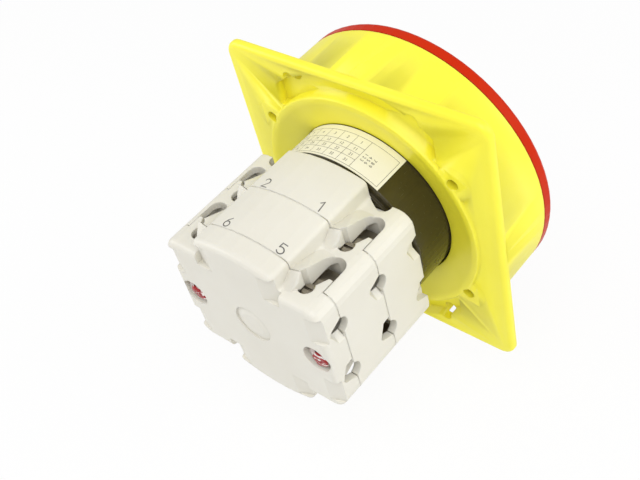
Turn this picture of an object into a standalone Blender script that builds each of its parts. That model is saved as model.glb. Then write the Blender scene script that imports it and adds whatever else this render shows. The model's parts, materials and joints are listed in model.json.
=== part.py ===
# Cam switch for a control panel: a large round handle on a deep drum, a square front plate,
# a latch housing and two stacked contact cells closed by an end plate.
# Frame: the shaft lies along Y. The operator stands at -Y, the contacts and the end plate are at +Y.
# The origin is on the shaft axis in the plane of the collar's crest, which sits on the panel. +Z is up.

import math

import bpy
import bmesh
from mathutils import Matrix, Vector

mm = 0.001
seatGap = 0.3 * mm          # gap between pieces that sit on each other
runGap = 0.4 * mm           # gap between pieces that move past each other

# Front plate and drum
plateHalf = 48.3 * mm
plateThickness = 3.0 * mm
plateCorner = 5.0 * mm
plateFillet = 1.6 * mm
plateFrontFillet = 0.8 * mm
plateDepth = 6.4 * mm       # from the collar's crest to the front of the drum's floor
drumRadius = plateHalf + 0.3 * mm
drumWall = 2.4 * mm
drumLength = 17.2 * mm
pocketHalf = plateHalf - 18.8 * mm
pocketStart = plateHalf - 18.7 * mm
pocketTop = plateHalf - 2.2 * mm
pocketRadius = drumRadius - 1.0 * mm
pocketStep = 3.2 * mm
collarCrestRadius = plateHalf - 8.7 * mm
collarCrestWidth = 2.2 * mm
collarRise = 1.2 * mm
collarDish = 2.2 * mm
bossRadius = 5.8 * mm
bossRise = 0.8 * mm
fixingHoleX = plateHalf - 13.8 * mm
fixingHoleZ = plateHalf - 25.1 * mm
fixingHoleRadius = 1.9 * mm
drainX = pocketHalf - 6.8 * mm
drainZ = plateHalf - 6.9 * mm
drainHoleRadius = 2.3 * mm

# Padlock windows in the drum and the matching slots in the handle
lockCount = 3
lockSpread = 27.0           # degrees between neighbours
lockHalfWidth = 5.2 * mm
lockWindowDepth = 9.0 * mm
lockSlotRadius = drumRadius - 10.4 * mm
lockSlotHalf = 3.8 * mm
lockFieldHalf = 50.0        # degrees of drum wall, each way, that is set back round the windows
lockFieldStep = 1.0 * mm

# Handle
rimThickness = 3.9 * mm
webThickness = 2.8 * mm
spigotLength = 2.0 * mm
spigotWall = 2.0 * mm
bowlRadius = drumRadius - 18.0 * mm
bowlWall = 2.4 * mm
bowlDepth = 10.0 * mm
hubRadius = 9.5 * mm
gripHalfLength = bowlRadius + 2.2 * mm
gripHalfWidth = 9.6 * mm
gripWaist = 7.9 * mm        # half the width where the fingers hold it
gripHeight = 9.0 * mm       # in front of the rim
capRadius = 5.2 * mm
capThickness = 1.6 * mm
gripWall = 2.5 * mm
gripRib = 2.0 * mm
ribPlaces = (0.5, 1.5, 3.5, 5.5)   # steps of lockSpread, so that the ribs stand between the padlock slots
ribHeight = 3.0 * mm
ribThickness = 1.6 * mm
pointerLength = 13.0 * mm
pointerWidth = 2.4 * mm
pointerDepth = 0.6 * mm

# Shaft and its screw
shaftHalf = 4.0 * mm
shaftSet = 4.8 * mm         # from the front of the handle's rim back to the shaft's front end
handleScrewRadius = 2.0 * mm
handleScrewReach = 9.0 * mm # into the shaft
shaftTapDepth = handleScrewReach + 2.0 * mm
screwSlotReach = 6.0 * mm   # half the length of a tool that cuts a driver slot
handleScrewHead = 4.2 * mm

# Latch housing
housingRadius = 28.7 * mm
housingRear = 11.8 * mm
housingNeckRadius = housingRadius - 2.7 * mm
flangeRadius = housingRadius + 5.3 * mm
flangeThickness = 2.8 * mm
latchBoreRadius = housingRadius - 10.1 * mm
latchRearWall = 2.0 * mm
coverThickness = 2.0 * mm
plateScrewRadius = housingRadius + 2.8 * mm
plateScrewStart = 45.0      # degrees from the side to the first plate screw
plateScrewShank = 1.2 * mm
plateScrewHead = 1.9 * mm
plateScrewBite = 2.0 * mm   # how deep the screws go into the front plate

# Latch star and its two sprung rollers
starTip = latchBoreRadius - 4.0 * mm
starNotch = 1.6 * mm
starLobes = 8
starThickness = 8.0 * mm
rollerRadius = 2.6 * mm
rollerFront = 2.0 * mm
latchSpringRadius = 2.4 * mm
latchSpringWire = 0.35 * mm
latchSpringTurns = 4

# Rating label
labelThickness = 0.2 * mm
labelFront = -1.0 * mm
labelRear = 11.5 * mm
labelStart = 50.0
labelEnd = 126.0

# Contact cells
cellCount = 2
cellPitch = 17.3 * mm
stackFront = 13.0 * mm
bodyHalfWidth = 29.9 * mm
shoulderHeight = 21.3 * mm
crownHalfWidth = 15.2 * mm
crownHeight = 29.8 * mm
crownSag = 2.4 * mm         # how far the arched top of the crown falls to its edges
crownWall = 1.7 * mm
shoulderCorner = 4.5 * mm
crownCorner = 1.8 * mm
valleyCorner = 1.2 * mm
cellFrontWall = 2.0 * mm
camBoreRadius = 12.0 * mm
chamberHalfWidth = bodyHalfWidth - 13.7 * mm
crownHalfSpace = crownHalfWidth - crownWall
chamberFloor = 12.4 * mm
chamberCeiling = crownHeight - 3.8 * mm
channelInner = chamberHalfWidth + 1.2 * mm
channelOuter = bodyHalfWidth - 2.5 * mm
channelFloor = 5.3 * mm
channelRoof = shoulderHeight - 2.5 * mm
channelLength = 11.6 * mm
channelOverlap = 4.7 * mm   # how far the terminal space reaches into the next piece
guideHalfWidth = 3.4 * mm

# Screwdriver slots and their raised inner lips
slotInner = bodyHalfWidth - 10.2 * mm
slotOuter = bodyHalfWidth - 3.8 * mm
slotLength = 11.9 * mm
lipInnerHeight = shoulderHeight + 3.1 * mm
lipOuterHeight = shoulderHeight + 4.9 * mm
notchX = slotInner + 1.1 * mm
notchShift = 0.6 * mm       # from the seam back to the centre of the notch
notchRadius = 2.5 * mm
tongueLength = 1.8 * mm
tabLength = 4.6 * mm
tabTip = 1.3 * mm
tabBase = 3.6 * mm
tabThickness = 1.9 * mm

# Wire entries in the sides
wireHeight = 10.0 * mm
wireRadius = 3.1 * mm
wireShift = 1.0 * mm        # from the seam back to the centre of the round part
entryReach = 4.2 * mm
entryRise = 1.3 * mm
entryFoot = 2.3 * mm
entryDrop = 2.6 * mm
entryLead = 2.4 * mm

# End plate and through bolts
endThickness = 7.8 * mm
endFillet = 1.8 * mm
boltX = bodyHalfWidth - 5.4 * mm
boltRadius = 2.2 * mm
boltHoleRadius = 2.7 * mm
boltHeadRadius = 4.0 * mm
boltHeadHeight = 2.2 * mm
counterboreRadius = 4.7 * mm
counterboreDepth = 3.2 * mm
boltFront = 3.5 * mm
bearingRadius = 6.2 * mm
bearingDepth = 4.6 * mm
dialRadius = 6.6 * mm
dialDepth = 0.6 * mm
dialWidth = 2.6 * mm
scoopDepth = 2.2 * mm
scoopWidth = 5.2 * mm

# Moving contacts
camHigh = 11.0 * mm
contactTravel = 2.0 * mm
camThickness = 11.0 * mm
noseRadius = 2.6 * mm
stemHalfWidth = 3.0 * mm
stemHalfDepth = 3.0 * mm
barThickness = 1.2 * mm
barHalfDepth = 3.4 * mm
tipHeight = 0.9 * mm
tipRadius = 1.6 * mm
tipX = crownHalfSpace - 2.5 * mm
bridgeHalf = crownHalfSpace - 0.6 * mm
bridgeThickness = 1.4 * mm
pinRadius = 1.2 * mm
contactSpringRadius = 2.3 * mm
contactSpringWire = 0.35 * mm
contactSpringTurns = 3

# Terminal clamps
clampThickness = 1.2 * mm
clampHalfX = 3.1 * mm
clampX = channelInner + 3.6 * mm
clampFront = 4.7 * mm       # from the seam, and the same for the rear
clampRear = 4.1 * mm
clampTongue = 10.4 * mm
clampDrop = 2.6 * mm        # how far the front end of the top plate is bent down
barLevel = channelRoof - 4.6 * mm
barHalfY = 3.0 * mm
terminalScrewRadius = 1.3 * mm
terminalScrewHead = 2.1 * mm
terminalScrewHeadHeight = 1.7 * mm

# Positions that follow from the sizes above
cellLength = cellPitch - seatGap
endFront = stackFront + cellCount * cellPitch
endRear = endFront + endThickness
drumFront = -plateDepth - drumLength
rimRear = drumFront - seatGap
rimFront = rimRear - rimThickness
webRear = rimFront + webThickness
gripFront = rimFront - gripHeight
plateFace = -collarRise
plateFront = plateFace - plateThickness
pocketFloor = plateFace - pocketStep
bossFace = plateFace + bossRise
plateHole = housingRadius + 0.5 * mm
flangeRear = -plateDepth - seatGap
flangeFront = flangeRear - flangeThickness
shaftFront = rimFront + shaftSet
bowlFloor = rimFront + bowlDepth
bowlRear = bowlFloor + webThickness
shaftRear = endFront + bearingDepth - runGap
camLow = camHigh - contactTravel
barTop = barLevel + barThickness
bridgeBottom = barTop + tipHeight + seatGap + tipHeight + contactTravel
chamberStep = barTop + tipHeight + 0.7 * mm

# Numbers of facets
ringSteps = 72
drumSteps = 80
boreSteps = 40
smallSteps = 16


def clearScene():
    for thing in list(bpy.data.objects):
        bpy.data.objects.remove(thing, do_unlink=True)
    for mesh in list(bpy.data.meshes):
        bpy.data.meshes.remove(mesh)


def makeMaterial(name, color, roughness, metallic=0.0):
    mat = bpy.data.materials.new(name)
    mat.use_nodes = True
    shader = mat.node_tree.nodes["Principled BSDF"]
    shader.inputs["Base Color"].default_value = (color[0], color[1], color[2], 1.0)
    shader.inputs["Roughness"].default_value = roughness
    shader.inputs["Metallic"].default_value = metallic
    mat.diffuse_color = (color[0], color[1], color[2], 1.0)
    return mat


# Solids

def makeObject(name, bm, mat=None, smoothAngle=35.0):
    bmesh.ops.remove_doubles(bm, verts=bm.verts, dist=1e-7)
    bmesh.ops.recalc_face_normals(bm, faces=bm.faces)
    mesh = bpy.data.meshes.new(name)
    bm.to_mesh(mesh)
    bm.free()
    mesh.shade_smooth()
    mesh.set_sharp_from_angle(angle=math.radians(smoothAngle))
    thing = bpy.data.objects.new(name, mesh)
    bpy.context.scene.collection.objects.link(thing)
    if mat is not None:
        mesh.materials.append(mat)
    return thing


def loftRings(name, rings, mat=None):
    # Rings of points with equal counts, joined in order and closed with a cap at each end.
    bm = bmesh.new()
    loops = [[bm.verts.new(point) for point in ring] for ring in rings]
    count = len(loops[0])
    for lower, upper in zip(loops, loops[1:]):
        for i in range(count):
            j = (i + 1) % count
            bm.faces.new((lower[i], lower[j], upper[j], upper[i]))
    bm.faces.new(loops[0])
    bm.faces.new(loops[-1])
    return makeObject(name, bm, mat)


def prismY(name, outline, yLow, yHigh, mat=None):
    rings = [[(x, y, z) for x, z in outline] for y in (yLow, yHigh)]
    return loftRings(name, rings, mat)


def prismZ(name, outline, zLow, zHigh, mat=None):
    rings = [[(x, y, z) for x, y in outline] for z in (zLow, zHigh)]
    return loftRings(name, rings, mat)


def prismX(name, outline, xLow, xHigh, mat=None):
    rings = [[(x, y, z) for y, z in outline] for x in (xLow, xHigh)]
    return loftRings(name, rings, mat)


def makeBox(name, low, high, mat=None):
    outline = [(low[0], low[2]), (high[0], low[2]), (high[0], high[2]), (low[0], high[2])]
    return prismY(name, outline, low[1], high[1], mat)


def makeHull(name, points, mat=None):
    bm = bmesh.new()
    for point in points:
        bm.verts.new(point)
    made = bmesh.ops.convex_hull(bm, input=bm.verts)
    loose = [item for item in made["geom_interior"] if isinstance(item, bmesh.types.BMVert)]
    bmesh.ops.delete(bm, geom=loose, context="VERTS")
    return makeObject(name, bm, mat)


def circlePoints(radius, steps, center=(0.0, 0.0), start=0.0):
    points = []
    for i in range(steps):
        angle = math.radians(start) + 2 * math.pi * i / steps
        points.append((center[0] + radius * math.cos(angle), center[1] + radius * math.sin(angle)))
    return points


def cylinderY(name, radius, yLow, yHigh, center=(0.0, 0.0), steps=boreSteps, mat=None):
    return prismY(name, circlePoints(radius, steps, center), yLow, yHigh, mat)


def cylinderZ(name, radius, zLow, zHigh, center=(0.0, 0.0), steps=smallSteps, mat=None):
    return prismZ(name, circlePoints(radius, steps, center), zLow, zHigh, mat)


def revolveY(name, profile, steps, mat=None, center=(0.0, 0.0)):
    # A closed outline of (radius, y) points turned round the Y axis. A radius of 0 makes a pole.
    bm = bmesh.new()
    rings = []
    for radius, y in profile:
        if radius == 0.0:
            rings.append([bm.verts.new((center[0], y, center[1]))])
        else:
            rings.append([bm.verts.new((x, y, z)) for x, z in circlePoints(radius, steps, center)])
    for k in range(len(rings)):
        a = rings[k]
        b = rings[(k + 1) % len(rings)]
        if len(a) == 1 and len(b) == 1:
            continue
        for i in range(steps):
            j = (i + 1) % steps
            if len(a) == 1:
                bm.faces.new((a[0], b[j], b[i]))
            elif len(b) == 1:
                bm.faces.new((a[i], a[j], b[0]))
            else:
                bm.faces.new((a[i], a[j], b[j], b[i]))
    return makeObject(name, bm, mat)


def roundedOutline(corners, steps=4):
    # corners: (x, z, radius) in order. Each corner becomes an arc of steps + 1 points.
    points = []
    count = len(corners)
    for i in range(count):
        x, z, radius = corners[i]
        if radius == 0.0:
            points.append((x, z))
            continue
        here = Vector((x, z))
        back = (Vector(corners[i - 1][:2]) - here).normalized()
        ahead = (Vector(corners[(i + 1) % count][:2]) - here).normalized()
        half = back.angle(ahead) / 2
        reach = radius / math.tan(half)
        middle = here + (back + ahead).normalized() * (radius / math.sin(half))
        first = here + back * reach - middle
        last = here + ahead * reach - middle
        turn = first.angle_signed(last)
        for k in range(steps + 1):
            spoke = first.copy()
            spoke.rotate(Matrix.Rotation(-turn * k / steps, 2))
            points.append(tuple(middle + spoke))
    return points


def roundedSquare(half, radius, steps=6):
    return roundedRectangle(half, half, radius, steps)


def roundedRectangle(halfX, halfZ, radius, steps=4):
    corners = [(sx * halfX, sz * halfZ, radius) for sx, sz in ((-1, -1), (1, -1), (1, 1), (-1, 1))]
    return roundedOutline(corners, steps)


def mirrored(points, sideX, sideZ):
    return [(sideX * x, y, sideZ * z) for x, y, z in points]


def springAlongZ(name, radius, wire, turns, zLow, zHigh, center, mat):
    # A round-wire compression spring standing along Z, as a tube round a helix.
    curve = bpy.data.curves.new(name, "CURVE")
    curve.dimensions = "3D"
    curve.bevel_depth = wire
    curve.bevel_resolution = 1
    curve.use_fill_caps = True
    steps = 10 * turns
    spline = curve.splines.new("POLY")
    spline.points.add(steps)
    low = zLow + wire
    high = zHigh - wire
    for k in range(steps + 1):
        angle = 2 * math.pi * turns * k / steps
        x = center[0] + radius * math.cos(angle)
        y = center[1] + radius * math.sin(angle)
        spline.points[k].co = (x, y, low + (high - low) * k / steps, 1.0)
    thing = bpy.data.objects.new(name, curve)
    bpy.context.scene.collection.objects.link(thing)
    curve.materials.append(mat)
    return thing


# Booleans

def combine(target, tool, operation):
    change = target.modifiers.new(tool.name, "BOOLEAN")
    change.operation = operation
    change.object = tool
    change.solver = "EXACT"
    tool.hide_render = True
    tool.display_type = "WIRE"


def cut(target, tool):
    combine(target, tool, "DIFFERENCE")


def add(target, tool):
    combine(target, tool, "UNION")


def placeOnAxis(thing, origin):
    # Moves an object's origin to a point and leaves its shape where it is.
    thing.data.transform(Matrix.Translation(-Vector(origin)))
    thing.location = origin


# Front plate with its drum

def plateSlab(mat):
    levels = []
    arcSteps = 4
    for k in range(arcSteps + 1):
        angle = math.radians(90.0 * k / arcSteps)
        inset = plateFrontFillet * (1 - math.cos(angle))
        levels.append((plateFront + plateFrontFillet * (1 - math.sin(angle)), inset))
    levels.reverse()
    for k in range(arcSteps + 1):
        angle = math.radians(90.0 * k / arcSteps)
        inset = plateFillet * (1 - math.cos(angle))
        levels.append((plateFace - plateFillet * (1 - math.sin(angle)), inset))
    rings = []
    for y, inset in levels:
        ring = roundedSquare(plateHalf - inset, plateCorner - inset)
        rings.append([(x, y, z) for x, z in ring])
    return loftRings("front_plate", rings, mat)


def collarTool():
    inner = plateHole
    outer = collarCrestRadius + collarCrestWidth / 2
    start = collarCrestRadius - collarCrestWidth / 2
    edge = -collarDish
    soft = 0.5 * mm
    profile = [(inner, -plateDepth + soft), (outer, -plateDepth + soft), (outer, -soft)]
    profile += [(outer - soft, 0.0), (start, 0.0), (start - 2 * soft, -soft)]
    profile += [((start + inner) / 2, edge / 2 - soft), (inner, edge - soft)]
    return revolveY("collar_tool", profile, ringSteps)


def drumTool():
    # The drum with its floor, which the pockets are sunk into.
    inner = drumRadius - drumWall
    rear = plateFront + plateFrontFillet
    middle = plateHole - 1.0 * mm
    profile = [(inner, drumFront), (inner, -plateDepth), (middle, -plateDepth), (middle, rear)]
    profile += [(drumRadius, rear), (drumRadius, drumFront)]
    return revolveY("drum_tool", profile, drumSteps)


def pocketOutline():
    # The space between the collar and the drum wall: straight sides, a flat top and the drum's curve between.
    start = math.asin(pocketHalf / pocketRadius)
    end = math.acos(pocketTop / pocketRadius)
    steps = 8
    points = [(pocketHalf, pocketStart)]
    for k in range(steps + 1):
        angle = start + (end - start) * k / steps
        points.append((pocketRadius * math.sin(angle), pocketRadius * math.cos(angle)))
    return points + [(-x, z) for x, z in reversed(points)]


def lockAngles():
    return [lockSpread * (i - (lockCount - 1) / 2) for i in range(lockCount)]


def buildFrontPlate(mat):
    plate = plateSlab(mat)
    add(plate, drumTool())
    for side in (-1, 1):
        outline = [(x, side * z) for x, z in pocketOutline()]
        cut(plate, prismY("pocket_tool%d" % side, outline, pocketFloor, 1.0 * mm))
    add(plate, collarTool())
    for sideX in (-1, 1):
        for sideZ in (-1, 1):
            center = (sideX * fixingHoleX, sideZ * fixingHoleZ)
            tag = "%d%d" % (sideX + 1, sideZ + 1)
            add(plate, cylinderY("boss_tool" + tag, bossRadius, plateFace - 1.0 * mm, bossFace, center, 28))
            start = -plateDepth - 2.0 * mm
            bore = cylinderY("fixing_tool" + tag, fixingHoleRadius, start, 1.0 * mm, center, 20)
            cut(plate, bore)
    hole = cylinderY("centre_tool", plateHole, -2 * plateDepth, 1.0 * mm, steps=ringSteps)
    cut(plate, hole)
    for k, (sideX, sideZ) in enumerate(quadrants()):
        center = (sideX * drainX, sideZ * drainZ)
        drain = cylinderY("drain_tool%d" % k, drainHoleRadius, -plateDepth - 1.5 * mm, 1.0 * mm, center, 20)
        cut(plate, drain)
    for k, place in enumerate(plateScrewPlaces()):
        cut(plate, cylinderY("screw_seat_tool%d" % k, plateScrewShank + seatGap, -plateDepth - 1.0 * mm,
                             -plateDepth + plateScrewBite, place, smallSteps))
    cutLockWindows(plate)
    return plate


def sectorOutline(inner, outer, half, steps=12):
    points = []
    for k in range(steps + 1):
        angle = math.radians(-half + 2 * half * k / steps)
        points.append((outer * math.cos(angle), outer * math.sin(angle)))
    for k in range(steps + 1):
        angle = math.radians(half - 2 * half * k / steps)
        points.append((inner * math.cos(angle), inner * math.sin(angle)))
    return points


def cutLockWindows(plate):
    rear = -plateDepth - 1.2 * mm
    front = rear - lockWindowDepth
    field = sectorOutline(drumRadius - lockFieldStep, drumRadius + 3.0 * mm, lockFieldHalf)
    cut(plate, prismY("lock_field_tool", field, front - 3.0 * mm, rear + 0.6 * mm))
    for k, angle in enumerate(lockAngles()):
        low = (drumRadius - drumWall - 5.0 * mm, front, -lockHalfWidth)
        high = (drumRadius + 5.0 * mm, rear, lockHalfWidth)
        tool = makeBox("lock_window_tool%d" % k, low, high)
        tool.data.transform(Matrix.Rotation(math.radians(-angle), 4, "Y"))
        cut(plate, tool)


# Handle, its screw and cap

def gripTool():
    # Shares of the height, the length and the width, from the bowl's floor to the front.
    levels = [(0.0, 0.96, 1.0), (0.16, 0.96, 0.90), (0.42, 0.96, 0.84), (0.52, 0.96, 0.83), (0.54, 1.0, 0.83)]
    levels += [(0.84, 0.985, 0.82), (0.95, 0.965, 0.79), (1.0, 0.935, 0.71)]
    start = bowlFloor + 1.0 * mm
    rings = []
    for share, lengthShare, widthShare in levels:
        y = start - (start - gripFront) * share
        halfWidth = gripHalfWidth * widthShare
        ring = roundedRectangle(halfWidth, gripHalfLength * lengthShare, halfWidth * 0.92, 6)
        rings.append([(x, y, z) for x, z in ring])
    return loftRings("grip_tool", rings)


def hollowGrip(handle):
    # The grip is open at the back, with a cross rib in each half.
    half = gripWaist - gripWall
    start = hubRadius + gripRib
    end = bowlRadius - bowlWall - gripRib
    middle = (start + end) / 2
    for side in (-1, 1):
        for k, (low, high) in enumerate(((start, middle - gripRib / 2), (middle + gripRib / 2, end))):
            ends = sorted((side * low, side * high))
            tool = makeBox("grip_hollow_tool%d_%d" % (side, k), (-half, gripFront + gripWall, ends[0]),
                           (half, bowlRear + 1.0 * mm, ends[1]))
            cut(handle, tool)


def addRibs(handle, spigotInner):
    # Short ribs behind the rim, from the bowl out to the spigot.
    for place in ribPlaces:
        for side in (-1, 1):
            low = (bowlRadius - 1.0 * mm, webRear - 1.0 * mm, -ribThickness / 2)
            high = (spigotInner + 1.0 * mm, webRear + ribHeight, ribThickness / 2)
            rib = makeBox("rib_tool%d_%d" % (10 * place, side), low, high)
            rib.data.transform(Matrix.Rotation(math.radians(side * place * lockSpread), 4, "Y"))
            add(handle, rib)


def buildHandle(mat):
    spigotOuter = drumRadius - drumWall - runGap
    spigotInner = spigotOuter - spigotWall
    spigotRear = rimRear + spigotLength
    hubRear = flangeFront - 3.0 * mm
    soft = 1.0 * mm
    profile = [(0.0, hubRear), (hubRadius, hubRear), (hubRadius, bowlRear), (bowlRadius, bowlRear)]
    profile += [(bowlRadius, webRear), (spigotInner, webRear)]
    profile += [(spigotInner, spigotRear), (spigotOuter, spigotRear), (spigotOuter, rimRear)]
    profile += [(drumRadius, rimRear), (drumRadius, rimFront + soft)]
    profile.append((drumRadius - soft * 0.3, rimFront + soft * 0.3))
    inner = bowlRadius - bowlWall
    profile += [(drumRadius - soft, rimFront), (inner + soft, rimFront), (inner, rimFront + soft)]
    profile += [(inner - soft, bowlFloor - 2 * soft), (inner - 3 * soft, bowlFloor)]
    hubTop = shaftFront - shaftSet * 0.5
    profile += [(hubRadius, bowlFloor), (hubRadius - soft, hubTop), (0.0, hubTop)]
    handle = revolveY("handle", profile, drumSteps, mat)
    add(handle, gripTool())
    hollowGrip(handle)
    addRibs(handle, spigotInner)
    half = shaftHalf + seatGap
    low = (-half, shaftFront - runGap, -half)
    cut(handle, makeBox("hub_bore_tool", low, (half, hubRear + 1.0 * mm, half)))
    seat = shaftFront - runGap - 4.0 * mm
    radius = handleScrewRadius + runGap
    cut(handle, cylinderY("handle_screw_tool", radius, seat - 1.0 * mm, shaftFront, steps=20))
    cut(handle, cylinderY("handle_well_tool", capRadius, gripFront - 1.0 * mm, seat, steps=28))
    for k, angle in enumerate(lockAngles()):
        reach = lockSlotHalf
        width = lockHalfWidth
        outline = roundedRectangle(reach, width, reach * 0.8, 4)
        outline = [(x + lockSlotRadius, z) for x, z in outline]
        tool = prismY("lock_slot_tool%d" % k, outline, rimFront - 1.0 * mm, webRear + 1.0 * mm)
        tool.data.transform(Matrix.Rotation(math.radians(-angle), 4, "Y"))
        cut(handle, tool)
    low = (-pointerWidth / 2, gripFront - 1.0 * mm, gripHalfLength * 0.86 - pointerLength)
    high = (pointerWidth / 2, gripFront + pointerDepth, gripHalfLength * 0.86)
    cut(handle, makeBox("pointer_tool", low, high))
    return handle, seat


def buildHandleScrew(mat, seat):
    headTop = seat - seatGap - 3.0 * mm
    end = shaftFront + handleScrewReach
    profile = [(0.0, end), (handleScrewRadius, end), (handleScrewRadius, seat - seatGap)]
    profile += [(handleScrewHead, seat - seatGap), (handleScrewHead, headTop + 0.5 * mm)]
    profile += [(handleScrewHead - 0.5 * mm, headTop), (0.0, headTop)]
    screw = revolveY("handle_screw", profile, 20, mat)
    low = (-0.5 * mm, headTop - 1.0 * mm, -screwSlotReach)
    high = (0.5 * mm, headTop + 1.1 * mm, screwSlotReach)
    cut(screw, makeBox("handle_screw_slot", low, high))
    return screw


def buildHandleCap(mat):
    front = gripFront + 0.2 * mm
    rear = front + capThickness
    radius = capRadius - seatGap
    soft = 0.4 * mm
    profile = [(0.0, rear), (radius, rear), (radius, front + soft), (radius - soft, front), (0.0, front)]
    return revolveY("handle_cap", profile, 28, mat)


# Shaft, star and cams

def squareBore(thing, tag, yLow, yHigh):
    half = shaftHalf + seatGap
    cut(thing, makeBox(tag + "_bore", (-half, yLow - 1.0 * mm, -half), (half, yHigh + 1.0 * mm, half)))


def buildShaft(mat):
    outline = roundedRectangle(shaftHalf, shaftHalf, 0.5 * mm, 2)
    shaft = prismY("shaft", outline, shaftFront, shaftRear, mat)
    end = shaftFront + shaftTapDepth
    cut(shaft, cylinderY("shaft_tap_tool", handleScrewRadius + seatGap, shaftFront - 1.0 * mm, end, steps=20))
    return shaft


def starOutline():
    points = []
    steps = 12
    for lobe in range(starLobes):
        for k in range(steps):
            share = k / steps
            angle = 2 * math.pi * (lobe + share) / starLobes + math.pi / 2
            radius = starTip - starNotch * math.cos(math.pi * share) ** 4
            points.append((radius * math.cos(angle), radius * math.sin(angle)))
    return points


def buildStar(mat, yLow):
    star = prismY("latch_star", starOutline(), yLow, yLow + starThickness, mat)
    squareBore(star, "latch_star", yLow, yLow + starThickness)
    return star


def camRadius(angle):
    # angle is in degrees from the follower. The cam falls by the travel over its first quarter turn.
    turn = angle % 180.0
    if turn <= 96.0:
        return camHigh - contactTravel * turn / 90.0
    fall = camHigh - contactTravel * 96.0 / 90.0
    back = (turn - 96.0) / (168.0 - 96.0)
    if back >= 1.0:
        return camHigh
    return fall + (camHigh - fall) * (1 - math.cos(math.pi * back)) / 2


def buildCam(mat, index):
    low = stackFront + index * cellPitch + cellFrontWall + runGap + 1.0 * mm
    high = low + camThickness
    outline = []
    steps = 60
    for i in range(steps):
        angle = 360.0 * i / steps
        radius = camRadius(angle)
        turned = math.radians(90.0 + angle)
        outline.append((radius * math.cos(turned), radius * math.sin(turned)))
    cam = prismY("cam_%d" % (index + 1), outline, low, high, mat)
    squareBore(cam, "cam_%d" % (index + 1), low, high)
    return cam


# Latch housing and what it holds

def buildHousing(mat):
    soft = 0.5 * mm
    rearEnd = stackFront - seatGap
    profile = [(0.0, flangeFront), (flangeRadius, flangeFront), (flangeRadius, flangeRear)]
    profile += [(housingRadius, flangeRear), (housingRadius, housingRear - soft)]
    profile += [(housingRadius - soft, housingRear), (housingNeckRadius, housingRear)]
    profile += [(housingNeckRadius, rearEnd), (0.0, rearEnd)]
    housing = revolveY("latch_housing", profile, ringSteps, mat)
    floor = stackFront - seatGap - latchRearWall
    ceiling = flangeFront + coverThickness + seatGap
    cut(housing, cylinderY("latch_bore_tool", latchBoreRadius, ceiling, floor, steps=boreSteps))
    radius = latchBoreRadius + 4.0 * mm
    seat = cylinderY("cover_seat_tool", radius, flangeFront - 1.0 * mm, ceiling, steps=boreSteps)
    cut(housing, seat)
    end = rearEnd + 1.0 * mm
    cut(housing, cylinderY("housing_shaft_tool", bearingRadius, floor - 1.0 * mm, end, steps=28))
    half = rollerRadius + runGap
    low = (-half, rollerFront, latchBoreRadius - 4.0 * mm)
    high = (half, floor, housingRadius - 3.0 * mm)
    for sideZ in (-1, 1):
        corners = mirrored([low, high], 1, sideZ)
        boxLow = tuple(min(a, b) for a, b in zip(*corners))
        boxHigh = tuple(max(a, b) for a, b in zip(*corners))
        cut(housing, makeBox("roller_way_tool%d" % sideZ, boxLow, boxHigh))
    for sideX in (-1, 1):
        center = (sideX * boltX, 0.0)
        start = boltFront - 1.0 * mm
        cut(housing, cylinderY("housing_bolt_tool%d" % sideX, boltHoleRadius, start, end, center, 20))
    for k, (x, z) in enumerate(plateScrewPlaces()):
        hole = cylinderY("flange_screw_tool%d" % k, plateScrewShank + seatGap, flangeFront - 1.0 * mm,
                         flangeRear + 1.0 * mm, (x, z), smallSteps)
        cut(housing, hole)
    return housing


def plateScrewPlaces():
    return circlePoints(plateScrewRadius, 4, start=plateScrewStart)


def buildPlateScrew(mat, k, place):
    seat = flangeFront - seatGap
    top = seat - 1.4 * mm
    end = -plateDepth + plateScrewBite - seatGap
    profile = [(0.0, end), (plateScrewShank, end), (plateScrewShank, seat), (plateScrewHead, seat)]
    profile += [(plateScrewHead, top + 0.4 * mm), (plateScrewHead - 0.5 * mm, top), (0.0, top)]
    return revolveY("plate_screw_%d" % (k + 1), profile, smallSteps, mat, place)


def buildCover(mat):
    radius = latchBoreRadius + 4.0 * mm - seatGap
    rear = flangeFront + coverThickness
    cover = cylinderY("latch_cover", radius, flangeFront, rear, steps=boreSteps, mat=mat)
    cut(cover, cylinderY("cover_hole_tool", bearingRadius, flangeFront - 1.0 * mm,
                         flangeFront + coverThickness + 1.0 * mm, steps=28))
    return cover


def buildRoller(mat, name, sideZ, floor):
    reach = starTip + seatGap + rollerRadius
    return cylinderY(name, rollerRadius, rollerFront + runGap, floor - runGap, (0.0, sideZ * reach), 20, mat)


def buildLatchSpring(mat, name, sideZ, floor):
    low = starTip + seatGap + 2 * rollerRadius + seatGap
    high = housingRadius - 3.0 * mm - seatGap
    ends = sorted((sideZ * low, sideZ * high))
    center = (0.0, (rollerFront + floor) / 2)
    low, high = ends
    return springAlongZ(name, latchSpringRadius, latchSpringWire, latchSpringTurns, low, high, center, mat)


def buildLabel(mat):
    inner = housingRadius + seatGap
    outer = inner + labelThickness
    half = (labelEnd - labelStart) / 2
    outline = sectorOutline(inner, outer, half, 24)
    label = prismY("rating_label", outline, labelFront, labelRear, mat)
    label.data.transform(Matrix.Rotation(-math.radians((labelEnd + labelStart) / 2), 4, "Y"))
    return label


# Contact cells and end plate

def crossOutline(inset=0.0):
    w = bodyHalfWidth - inset
    s = shoulderHeight - inset
    c = crownHalfWidth - inset
    h = crownHeight - inset
    outer = shoulderCorner - inset
    crown = max(crownCorner - inset, 0.2 * mm)
    valley = valleyCorner + inset
    edge = h - crownSag
    top = [(c * share, h - crownSag * share * share, 0.0) for share in (0.7, 0.35, 0.0, -0.35, -0.7)]
    upper = [(w, s, outer), (c, s, valley), (c, edge, crown)] + top
    upper += [(-c, edge, crown), (-c, s, valley), (-w, s, outer)]
    lower = [(-x, -z, radius) for x, z, radius in upper]
    return roundedOutline(upper + lower, 4)


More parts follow.
